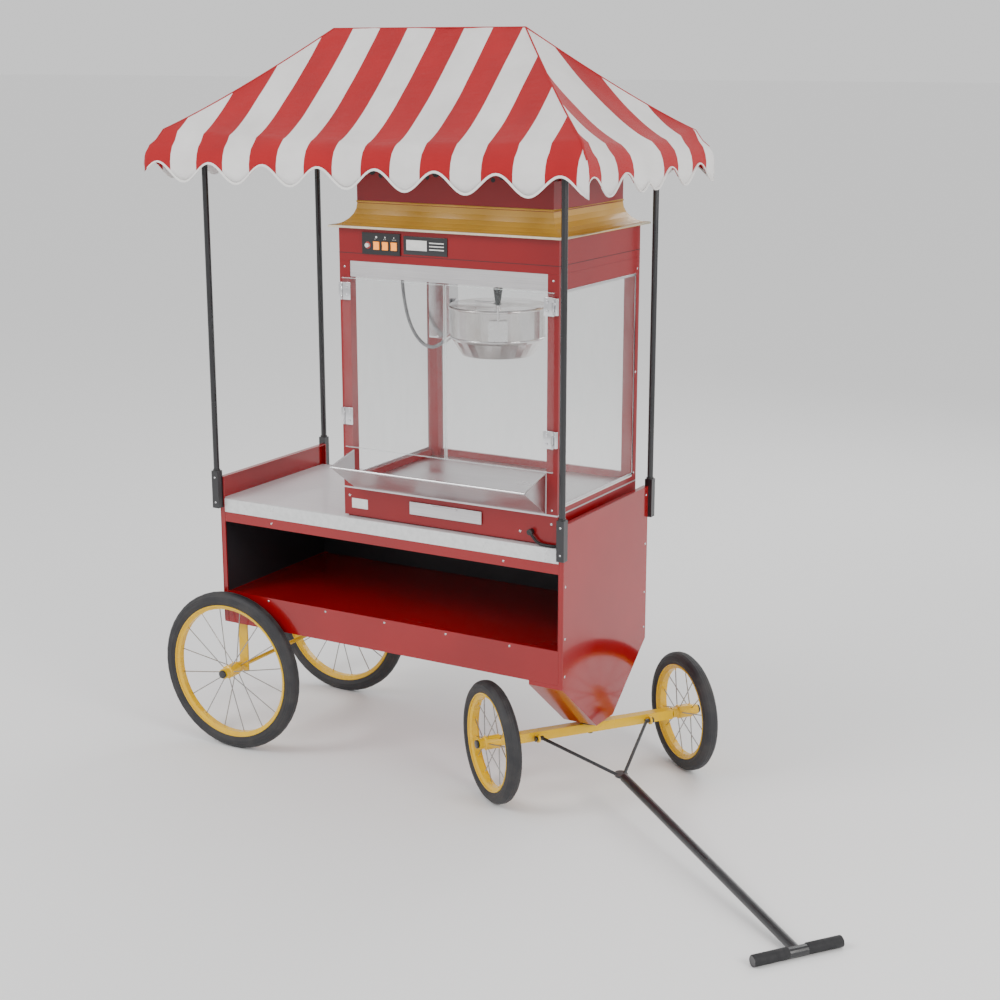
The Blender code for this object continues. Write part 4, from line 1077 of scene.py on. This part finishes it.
def striped_cloth(at):
    """Woven cloth with red stripes by the map, soft fading and a fine weave."""
    u, v, _ = at.split()
    is_end = u.above(END_MAP / 2, 0.5)
    end_at = ((u - END_MAP + END_SHIFT).math("ABSOLUTE") - END_START) / END_STRIPE
    side_at = (u + STRIPE_START) / STRIPE
    phase = (side_at + (end_at - side_at) * is_end).math("FLOORED_MODULO", 1.0)
    red = phase.below(0.5, 0.002)
    fade = at.noise(6, 4).spread(0, 1)
    red_tone = fade.mix(colour(0.36, 0.008, 0.012), colour(0.44, 0.014, 0.019))
    white_tone = fade.mix(colour(0.74, 0.72, 0.71), colour(0.86, 0.85, 0.84))
    turn = math.tau / THREAD_PITCH
    weave = (u * turn).math("SINE") * (v * turn).math("SINE")
    seam = ((phase * 2).math("FRACT") - 0.5).math("ABSOLUTE").above(0.488, 0.006)
    creases = at.scaled(3, 8, 1).noise(5, 4)
    height = weave * 0.06 + seam * 0.5 + creases * 1.5
    return {
        "Base Color": red.mix(white_tone, red_tone),
        "Roughness": fade.spread(0.72, 0.9, 0, 1),
        "Normal": height.bump(0.0016, 0.7),
    }


cloth = material("striped_cloth", striped_cloth, uv=True, Sheen_Weight=0.15, Specular_IOR_Level=0.2)
cover = piece("striped_cover", cover_shape, cloth)
cover.data.set_sharp_from_angle(angle=math.radians(75))
thick = cover.modifiers.new("cloth", "SOLIDIFY")
thick.thickness = 0.0012
thick.offset = -1
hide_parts("canopy_cover")
print("cloth", thick.thickness, "m thick")

# %% [markdown]
# ## Binding and piping
#
# A white binding is sewn over the lobed hem, and red piping covers the seams along the hips and the ridge. The
# binding is a flattened tube that follows the hem all the way round and closes on itself.

# %% binding and piping
HEM_STEPS, END_HEM_STEPS = 150, 80
PIPING, BINDING, BINDING_FLAT = 0.0024, 0.0034, 0.55


def binding_weave(at):
    return {"Normal": at.noise(900, 2).bump(0.0002), "Roughness": at.noise(40).spread(0.7, 0.85)}


def hem_line():
    hx, hy = COVER_HIGH.x - 0.002, COVER_HIGH.y - 0.002
    corners = ((-hx, -hy), (hx, -hy), (hx, hy), (-hx, hy))
    hem = []
    for n, (start, end) in enumerate(zip(corners, corners[1:] + corners[:1])):
        along_x = n % 2 == 0
        steps = HEM_STEPS if along_x else END_HEM_STEPS
        for k in range(steps):
            x = start[0] + (end[0] - start[0]) * k / steps
            y = start[1] + (end[1] - start[1]) * k / steps
            hem.append((x, y, valance_edge(x if along_x else y, along_x) + 0.0025))
    return hem


def seam_ropes():
    """Piping down the four hips and along the ridge, a little inside the cloth's outer face."""
    slope = (COVER_HIGH.x - RIDGE_HALF) / COVER_HIGH.y
    ropes = []
    for sx in (-1, 1):
        for sy in (-1, 1):
            line = []
            for inset, z, _ in levels[2:]:
                x = sx * (COVER_HIGH.x - inset * slope)
                line.append((x * 0.9985, sy * (COVER_HIGH.y - inset) * 0.9985, z - 0.0006))
            ropes.append(tube(line, PIPING, 8))
    top = levels[-1][1] - 0.001
    ropes.append(tube([(-RIDGE_HALF, 0, top), (RIDGE_HALF, 0, top)], PIPING, 8))
    return ropes


white = material("white_binding", binding_weave, Base_Color=colour(0.84, 0.83, 0.81))
piping = material("hip_piping", binding_weave, Base_Color=colour(0.40, 0.012, 0.016))
binding_tube = tube(hem_line(), BINDING, 8, closed=True, flat=BINDING_FLAT)
binding = piece("valance_binding", binding_tube, white)
seams = piece("hip_seams", joined(*seam_ropes()), piping)
print("binding and piping sewn on")

# %% [markdown]
# ## Screws
#
# Sheet metal is held with small domed screws. A head is the upper part of a sphere, pressed flat, and its cross
# slot is two thin near-black rods laid on it, as painted shade for the slot. A slot that is really cut would
# need finer faces for the same look.

# %% screws
HEAD_FLAT, SLOT_REACH, SLOT_LEVEL, SLOT_THICK = 0.45, 0.55, 0.40, 0.10  # each a share of the head's radius


def screw(at, axis, radius):
    """A domed screw head and its cross slot, facing along axis."""
    axis = Vector(axis)
    shape = bmesh.new()
    bmesh.ops.create_uvsphere(shape, u_segments=16, v_segments=8, radius=radius)
    under = [v for v in shape.verts if v.co.z < -0.0002]
    bmesh.ops.delete(shape, geom=under, context="VERTS")
    bmesh.ops.scale(shape, verts=shape.verts, vec=(1, 1, HEAD_FLAT))
    turn = axis.to_track_quat("Z", "Y").to_matrix().to_4x4()
    bmesh.ops.transform(shape, matrix=Matrix.Translation(at) @ turn, verts=shape.verts)
    side = axis.orthogonal().normalized() * radius * SLOT_REACH
    other = axis.cross(side)
    top = Vector(at) + axis * radius * SLOT_LEVEL
    slots = [rod(top - arm, top + arm, radius * SLOT_THICK, 6) for arm in (side, other)]
    return shape, joined(*slots)


def screw_set(name, places, axis, radius):
    heads, slots = zip(*(screw(at, axis, radius) for at in places))
    piece(f"{name}_screws", joined(*heads), chrome)
    # The slots' near-black is painted shade for a cut slot.
    piece(f"{name}_screw_slots", joined(*slots), black_paint_and_shade)
    print(name, "screws", len(places))


# %% [markdown]
# ## Wagon screws and panel folds
#
# Screws run down the right end's edges and along the front, where the panels meet the frame. The end panels'
# front edges are folded twice, so each has two soft ridges, made as thin rods half sunk in the sheet.

# %% wagon screws and panel folds
BODY_SCREW = 0.0035
EDGE_IN = 0.012
EDGE_SCREWS = (0.83, 0.68, 0.53, 0.42)
FOLD_WIDTH, FOLD_ROUND, FOLD_FOOT = 0.016, 0.0012, 0.4


def wagon_trim():
    low, high = box("end_panel_right")
    left, right, front = box("end_panel_left")[0].x, high.x, low.y
    skirt_top = box("front_skirt")[1].z
    apron_low, apron_high = box("front_apron")
    places = [(x, front, high.z - 0.012) for x in (left + 0.008, right - 0.008)]
    places += [(-0.42 + 0.21 * n, front, skirt_top - 0.010) for n in range(5)]
    places += [(x, front, (apron_low.z + apron_high.z) / 2) for x in (-0.40, 0.40)]
    screw_set("front", places, Y * -1, BODY_SCREW)
    screw_set("right_edge", [(right, high.y - EDGE_IN, z) for z in EDGE_SCREWS], X, BODY_SCREW)
    screw_set("right_front_edge", [(right, front + EDGE_IN, z) for z in EDGE_SCREWS[1:]], X, BODY_SCREW)
    folds = []
    for start in (left, right - FOLD_WIDTH):
        for x in (start + 0.001, start + FOLD_WIDTH - 0.001):
            folds.append(rod((x, front, FOLD_FOOT), (x, front, high.z - 0.002), FOLD_ROUND, 8))
    piece("panel_folds", joined(*folds), body_red)


wagon_trim()

# %% [markdown]
# ## Post clamps and collars
#
# Each canopy post stands in a corner clamp with two screws, and has a collar where it leaves the clamp and a
# cap where it meets the canopy's frame.

# %% post clamps and collars
CLAMP_SCREWS = (0.018, 0.095)
SMALL_SCREW = 0.0032


def post_trim():
    places = {-1: [], 1: []}
    caps = []
    for name in ("front_left", "front_right", "back_left", "back_right"):
        low, high = box(f"canopy_post_{name}")
        x, y = (low.x + high.x) / 2, (low.y + high.y) / 2
        side = -1 if y < 0 else 1
        places[side] += [(x, low.y if side < 0 else high.y, low.z + up) for up in CLAMP_SCREWS]
        caps.append(rod((x, y, high.z - 0.010), (x, y, high.z + 0.002), 0.0105, 20, edge=0.0015))
        caps.append(rod((x, y, low.z + 0.112), (x, y, low.z + 0.120), 0.0112, 20, edge=0.001))
    screw_set("clamp_front", places[-1], Y * -1, SMALL_SCREW)
    screw_set("clamp_back", places[1], Y, SMALL_SCREW)
    piece("post_collars", joined(*caps), knob_black)


post_trim()

# %% [markdown]
# ## Glass trims and gaskets
#
# Steel strips lap from the posts onto the glass: four round each end pane, and two up the sides of the back
# one. A pale gasket shows below the end panes. Strips are slabs with their edges broken.

# %% glass trims and gaskets
CABINET_LOW, CABINET_HIGH = box("cabinet_frame")
STRIP, STRIP_WIDE, STRIP_LAP, STRIP_GAP = 0.001, 0.007, 0.001, 0.0002
STRIP_EDGE = 0.0003


def glass_trims():
    x0, x1, y0, y1 = CABINET_LOW.x, CABINET_HIGH.x, CABINET_LOW.y, CABINET_HIGH.y
    left_x, right_x = box("glass_back")[0].x, x1 - (box("glass_back")[0].x - x0)
    front_y, back_y = box("glass_left")[0].y, y1 - (box("glass_left")[0].y - y0)
    z0, z1 = box("glass_left")[0].z, box("glass_left")[1].z
    over = STRIP_WIDE - STRIP_LAP
    strips = []
    for x in (x0 - STRIP - STRIP_GAP, x1 + STRIP_GAP):
        for y in (front_y - over, back_y - STRIP_LAP):
            strips.append(slab((x, y, z0), (x + STRIP, y + STRIP_WIDE, z1), STRIP_EDGE))
        for z in (z0 - STRIP_LAP, z1 - over):
            strips.append(slab((x, front_y, z), (x + STRIP, back_y, z + STRIP_WIDE), STRIP_EDGE))
    for x in (left_x - over, right_x - STRIP_LAP):
        strips.append(slab((x, y1 + STRIP_GAP, z0), (x + STRIP_WIDE, y1 + STRIP_GAP + STRIP, z1), STRIP_EDGE))
    piece("glass_trims", joined(*strips), upright_steel, smooth=False)
    seal = []
    for x in (x0 - 0.001, x1 + STRIP_GAP):
        seal.append(slab((x, front_y, z0 - 0.0055), (x + 0.0008, back_y, z0 - 0.0015)))
    piece("glass_gaskets", joined(*seal), gasket_white, smooth=False)


glass_trims()
print("glass strips", STRIP_WIDE, "m wide")

# %% [markdown]
# ## Cabinet screws and a blank label
#
# The base and the corner posts are screwed together, and a rating label sits at the base's left. A label's
# print belongs to its maker, so this one is left blank.

# %% cabinet screws and a blank label
BASE_FRONT = box("machine_base")[0].y


def cabinet_screws():
    x0, x1, y0, y1 = CABINET_LOW.x, CABINET_HIGH.x, CABINET_LOW.y, CABINET_HIGH.y
    base = [(0.443, BASE_FRONT, 0.818), (-0.125, BASE_FRONT, 0.85), (0.541, BASE_FRONT, 0.85)]
    screw_set("base", base, Y * -1, 0.004)
    posts = [(x, y0, z) for x in (x0 + 0.017, x1 - 0.017) for z in (CABINET_LOW.z + 0.012, 1.515)]
    screw_set("post", posts, Y * -1, SMALL_SCREW)
    ends = [(x1, y, z) for y in (y0 + 0.015, y1 - 0.015) for z in (0.90, 1.20, 1.50)]
    screw_set("post_side", ends, X, SMALL_SCREW)


cabinet_screws()
label = slab((-0.117, BASE_FRONT - 0.0008, 0.814), (-0.062, BASE_FRONT, 0.843), 0.0003)
piece("blank_label", label, white_mark)

# %% [markdown]
# ## Notice plate and housing seam
#
# Beside the switches is a black plate with a blank panel and three blank lines where a notice would be. Below
# it, the housing's front and top sheets meet in a thin dark seam.

# %% notice plate and housing seam
PLATE_Y = box("control_plate")[0].y
HOUSING_LOW, HOUSING_HIGH = box("top_housing")


def notice_plate():
    plate = slab((0.074, PLATE_Y + 0.0015, 1.560), (0.215, HOUSING_LOW.y, 1.610), 0.0008)
    piece("notice_plate", plate, black_enamel)
    front, back = PLATE_Y + 0.0009, PLATE_Y + 0.0016
    notice = [slab((0.084, front, 1.572), (0.150, back, 1.600), 0.0002)]
    notice += [slab((0.158, front, z), (0.205, back, z + 0.003)) for z in (1.575, 1.584, 1.593)]
    piece("notice_blanks", joined(*notice), white_mark, smooth=False)


notice_plate()
seam_low = (CABINET_LOW.x - 0.0006, HOUSING_LOW.y - 0.0006, 1.5535)
seam_high = (CABINET_HIGH.x + 0.0006, HOUSING_HIGH.y + 0.0006, 1.5548)
piece("housing_seam", slab(seam_low, seam_high), black_paint_and_shade, smooth=False)
print("notice plate and seam added")

# %% [markdown]
# ## Switch marks
#
# Each rocker has an icon over it and a bezel round it, and the reset button a red ring. Real icons are a
# maker's own, so these are generic: a small disc or polygon over one, two or three dots.

# %% switch marks
ROCKERS_X, ROCKER_Z = (-0.014, 0.015, 0.044), 1.579
ROCKER_HALF_WIDE, ROCKER_HALF_HIGH = 0.0108, 0.0130
ICON_Z, ICON_THICK = 1.6025, 0.0006


def control_marks():
    y = PLATE_Y
    marks = []
    for n, x in enumerate(ROCKERS_X):
        sides = 16 if n == 0 else 6
        marks.append(rod((x, y, ICON_Z), (x, y - ICON_THICK, ICON_Z), 0.0030 - 0.0006 * n, sides))
        for k in range(n + 1):
            dot = x - 0.005 + 0.005 * k
            marks.append(slab((dot, y - ICON_THICK, ICON_Z - 0.0062), (dot + 0.002, y, ICON_Z - 0.0048)))
    piece("switch_icons", joined(*marks), white_mark, smooth=False)
    rims = []
    for x in ROCKERS_X:
        left, right = x - ROCKER_HALF_WIDE, x + ROCKER_HALF_WIDE
        low, high = ROCKER_Z - ROCKER_HALF_HIGH, ROCKER_Z + ROCKER_HALF_HIGH
        loop = [(left, y, low), (right, y, low), (right, y, high), (left, y, high)]
        rims.append(tube(loop, 0.0011, 8, closed=True))
    piece("switch_bezels", joined(*rims), knob_black)
    ring = circle((-0.043, y, ROCKER_Z), X, Z, 0.0082, 28)
    piece("button_ring", tube(ring, 0.0013, 8, closed=True), button_red)


control_marks()
print("switches marked", len(ROCKERS_X))

# %% [markdown]
# ## Roof hem and crest
#
# The flared gold roof ends in a rolled cream hem, and the red box above it has a gold belt, round holes in
# groups of three and a lobed gold edge along its top. The holes are thin near-black discs, painted shade for the
# box's dark inside, because the box behind them is solid.

# %% roof hem and crest
CREST_LOW, CREST_HIGH = box("roof_crest")
LOBES, LOBE_STEPS, LOBE_HEIGHT = 6, 10, 0.032


def hole(x, y, z, out, radius, sides):
    return rod((x, y, z), (x, y + out * 0.0007, z), radius, sides)


def roof_trim():
    low, high = box("roof_skirt")
    hem = tube(rectangle(low, high, low.z + 0.003), 0.0034, 8, closed=True)
    piece("roof_hem", hem, cream)
    belt = tube(rectangle(CREST_LOW, CREST_HIGH, CREST_LOW.z + 0.004), 0.0030, 8, closed=True)
    piece("crest_belt", belt, gold_enamel)
    holes, lines = [], []
    length = CREST_HIGH.x - CREST_LOW.x
    width = length / LOBES
    for y, out in ((CREST_LOW.y, -1), (CREST_HIGH.y, 1)):
        for n in range(LOBES):
            x = CREST_LOW.x + width * (n + 0.5)
            holes.append(hole(x, y, 1.780, out, 0.011, 24))
            holes += [hole(x + side * width * 0.27, y, 1.768, out, 0.0065, 20) for side in (-1, 1)]
        edge = []
        for n in range(LOBES * LOBE_STEPS + 1):
            t = n / (LOBES * LOBE_STEPS)
            z = CREST_HIGH.z - LOBE_HEIGHT + LOBE_HEIGHT * abs(math.sin(math.pi * t * LOBES))
            edge.append((CREST_LOW.x + length * t, y - out * 0.001, z - 0.001))
        lines.append(tube(edge, 0.0016, 8))
    # The holes' near-black is painted shade for the inside of the box.
    piece("crest_holes", joined(*holes), black_paint_and_shade)
    piece("crest_edges", joined(*lines), gold_enamel)


roof_trim()
print("crest lobes", LOBES)

# %% [markdown]
# ## Door hinges and edges
#
# A hinge is a leaf on the door and one on the post, with knuckles that interlock round one pin. The door's
# middle knuckle turns between the post's outer two, so each rides on its own body and neither ever cuts the
# other. A bare pane's sawn edges catch the light, so they get a denser clear sheet.

# %% door hinges and edges
KNUCKLE = 0.0028  # a hinge barrel's radius, less than the pin's distance from the pane
HINGES_Z = (1.062, 1.422)
HINGE_HIGH, LEAF_LONG = 0.050, 0.030
EDGE_OVER = 0.0004


def hinge_leaf(x, y, z, side, pane_front):
    """The door's half: a plate, its middle knuckle and two rivets."""
    front, back = pane_front - 0.0022, pane_front - 0.0002
    # The plate stays clear of the post's knuckles, and only its middle reaches the pin.
    a, b = sorted((x - side * (KNUCKLE + 0.0004), x - side * LEAF_LONG))
    plate = slab((a, front, z), (b, back, z + HINGE_HIGH), 0.0006)
    a, b = sorted((x, x - side * (KNUCKLE + 0.002)))
    tongue = slab((a, front, z + 0.0140), (b, back, z + 0.0360))
    barrel = rod((x, y, z + 0.0130), (x, y, z + 0.0370), KNUCKLE, 20, edge=0.0004)
    rivet = x - side * LEAF_LONG * 0.62
    rivets = []
    for up in (z + 0.013, z + 0.037):
        rivets.append(rod((rivet, front, up), (rivet, front - 0.0018, up), 0.0042, 16, edge=0.0006))
    return [plate, tongue, barrel, *rivets]


def hinge_post(x, y, z, side):
    """The post's half: two outer knuckles and the plate behind them."""
    made = []
    for start, end in ((z, z + 0.0125), (z + 0.0375, z + HINGE_HIGH)):
        made.append(rod((x, y, start), (x, y, end), KNUCKLE, 20, edge=0.0004))
        a, b = sorted((x + side * 0.0004, x + side * KNUCKLE))
        made.append(slab((a, y, start + 0.001), (b, y + 0.0040, end - 0.001)))
    a, b = sorted((x + side * 0.0004, x + side * 0.011))
    made.append(slab((a, y + KNUCKLE + 0.0003, z + 0.002), (b, y + 0.0100, z + 0.048), 0.0005))
    return made


def pane_edges(low, high, side):
    """Clear strips over a pane's free side edge and along its foot and head."""
    front, back = low.y - EDGE_OVER, high.y + EDGE_OVER
    edge_x = high.x if side < 0 else low.x
    near, far = sorted((edge_x, edge_x + side * 0.0025))
    return [
        slab((near, front, low.z), (far, back, high.z), 0.0005),
        slab((low.x, front, low.z - EDGE_OVER), (high.x, back, low.z + 0.0022), 0.0005),
        slab((low.x, front, high.z - 0.0022), (high.x, back, high.z + EDGE_OVER), 0.0005),
    ]


for door, door_side in (("left", -1), ("right", 1)):
    door_low, door_high = box(f"door_{door}")
    pin = Vector(joint(f"door_{door}_swing")["pos_m"]) - MIDDLE
    leaves, knuckles = [], []
    for hinge_z in HINGES_Z:
        leaves += hinge_leaf(pin.x, pin.y, hinge_z, door_side, door_low.y)
        knuckles += hinge_post(pin.x, pin.y, hinge_z, door_side)
    piece(f"door_{door}_hinge_leaves", joined(*leaves), chrome, f"{door}_door")
    piece(f"door_{door}_hinge_posts", joined(*knuckles), chrome)
    edges = joined(*pane_edges(door_low, door_high, door_side))
    piece(f"door_{door}_edges", edges, edge_glass, f"{door}_door", smooth=False)
print("hinges", 2 * len(HINGES_Z))

# %% [markdown]
# ## Tray and drawer
#
# The spill tray's front and sloped ends have rolled edges, made as tubes along them, and the kernel drawer has
# a separate front plate that covers its opening and rides with it.

# %% tray and drawer
TRAY_LIP_Z, TRAY_EDGE_Z = 0.959, 0.961


def tray_trim():
    low, high = box("spill_tray")
    lip_y = low.y + 0.002
    lip = tube([(low.x, lip_y, TRAY_LIP_Z), (high.x, lip_y, TRAY_LIP_Z)], 0.0034, 14)
    piece("tray_lip", lip, upright_steel)
    edges = []
    for x in (low.x + 0.001, high.x - 0.001):
        edges.append(tube([(x, low.y + 0.004, TRAY_EDGE_Z), (x, high.y - 0.001, high.z)], 0.0018, 10))
    piece("tray_edges", joined(*edges), upright_steel)


def drawer_face():
    low, high = box("kernel_drawer")
    start = (low.x - 0.004, low.y + 0.0062, low.z - 0.003)
    end = (high.x + 0.004, low.y + 0.0090, high.z + 0.001)
    piece("drawer_face", slab(start, end, 0.0008), stainless, "drawer")


tray_trim()
drawer_face()
print("tray edges and drawer face added")

# %% [markdown]
# ## Kettle trim
#
# The kettle's rim is rolled over a wire and a band runs round it lower down, both as closed tubes. Its lid flap
# has a bent wire pull, its trunnion a collar, and the drive column a foot.

# %% kettle trim
KETTLE_X, KETTLE_RIM = box("kettle")[1].x - 0.142, 1.400


def kettle_trim():
    rolled = circle((KETTLE_X, 0, KETTLE_RIM - 0.003), X, Y, 0.1405, 64)
    rim = tube(rolled, 0.0035, 12, closed=True)
    piece("kettle_rolled_rim", rim, kettle_metal, "kettle_group")
    band = tube(circle((KETTLE_X, 0, KETTLE_RIM - 0.088), X, Y, 0.1367, 64), 0.0022, 10, closed=True)
    piece("kettle_band", band, upright_steel, "kettle_group")
    right, left, foot, top = KETTLE_X + 0.05, KETTLE_X - 0.03, 1.4035, 1.418
    pull = [(x, -0.075, z) for x, z in ((right, foot), (right, top), (left, top), (left, foot))]
    piece("lid_pull", tube(pull, 0.0022, 10), chrome, "lid_flap")
    tip = Vector(joint("kettle_tilt")["pos_m"]) - MIDDLE
    boss = rod((0.0580, tip.y, tip.z), (0.0660, tip.y, tip.z), 0.0165, 28, edge=0.0015)
    piece("trunnion_collar", boss, chrome, "kettle_group")
    low, high = box("drive_column")
    around = Vector((0.0006, 0.0006, 0))
    foot_top = Vector((high.x, high.y, low.z + 0.006))
    piece("column_foot", slab(low - around, foot_top + around, 0.001), chrome)


kettle_trim()
print("kettle rim at", KETTLE_RIM, "m")

# %% [markdown]
# ## Hub caps and rim beads
#
# A hub cap turns with its wheel, while the axle inside it stands still. So a cap is a lid and a collar with the
# axle's end free between them: a solid cap would swallow it. Two beads on each rim hold the tyre.

# %% hub caps and rim beads
CAP_LID, CAP_COLLAR = (0.0470, 0.0500), 0.0452  # how far out of the wheel's middle they sit
BEAD_OFFSET = 0.0158

for wheel in WHEELS:
    wheel_spin = joint(f"{wheel}_spin")
    axle = Vector(wheel_spin["axis"])
    hub = Vector(wheel_spin["pos_m"]) - MIDDLE
    out = axle if "far" in wheel else -axle
    across = axle.cross(Z)
    lid = rod(hub + out * CAP_LID[0], hub + out * CAP_LID[1], 0.0125, 24, edge=0.0010)
    collar = tube(circle(hub + out * CAP_COLLAR, across, Z, 0.0100, 28), 0.0023, 10, closed=True)
    piece(f"{wheel}_hub_cap", joined(lid, collar), black_enamel, f"{wheel}_roller")
    tyre = tyre_radius(wheel)
    bead = tyre - 0.041 if tyre > 0.2 else tyre - 0.037
    beads = []
    for offset in (-BEAD_OFFSET, BEAD_OFFSET):
        beads.append(tube(circle(hub + axle * offset, across, Z, bead, 72), 0.0024, 8, closed=True))
    piece(f"{wheel}_rim_beads", joined(*beads), yellow_enamel, f"{wheel}_roller")
print("wheels trimmed", len(WHEELS))

# %% [markdown]
# ## Drawbar
#
# The fork hangs from two pins on the front axle, whose heads show outside it, and the cross grip at the
# drawbar's end has a rubber sleeve on each side.

# %% drawbar
FORK_EYE, DRAWBAR_REACH = 0.182, 1.132 - 0.032


def tyre_grip(at):
    return {"Roughness": at.noise(60, 3).spread(0.6, 0.8), "Normal": at.noise(420, 2).bump(0.0004, 0.6)}


def drawbar_trim():
    pitch = joint("drawbar_pitch")
    axis = Vector(pitch["axis"])
    pivot = Vector(pitch["pos_m"]) - MIDDLE
    pins = []
    for side in (-1, 1):
        eye = pivot + axis * side * FORK_EYE
        pins.append(rod(eye + axis * side * 0.0062, eye + axis * side * 0.0105, 0.0085, 20, edge=0.001))
    piece("fork_pin_heads", joined(*pins), black_enamel, "drawbar")
    heading = Vector((axis.y, -axis.x, 0))
    if heading.x < 0:
        heading.negate()
    middle = Vector((pivot.x, pivot.y, 0.0152)) + heading * DRAWBAR_REACH
    grips = []
    for side in (-1, 1):
        start, end = middle + axis * side * 0.026, middle + axis * side * 0.1245
        grips.append(rod(start, end, 0.0149, 28, edge=0.002))
    grip_rubber = material("grip_rubber", tyre_grip, Base_Color=colour(0.016, 0.016, 0.018))
    piece("drawbar_grips", joined(*grips), grip_rubber, "drawbar")


drawbar_trim()
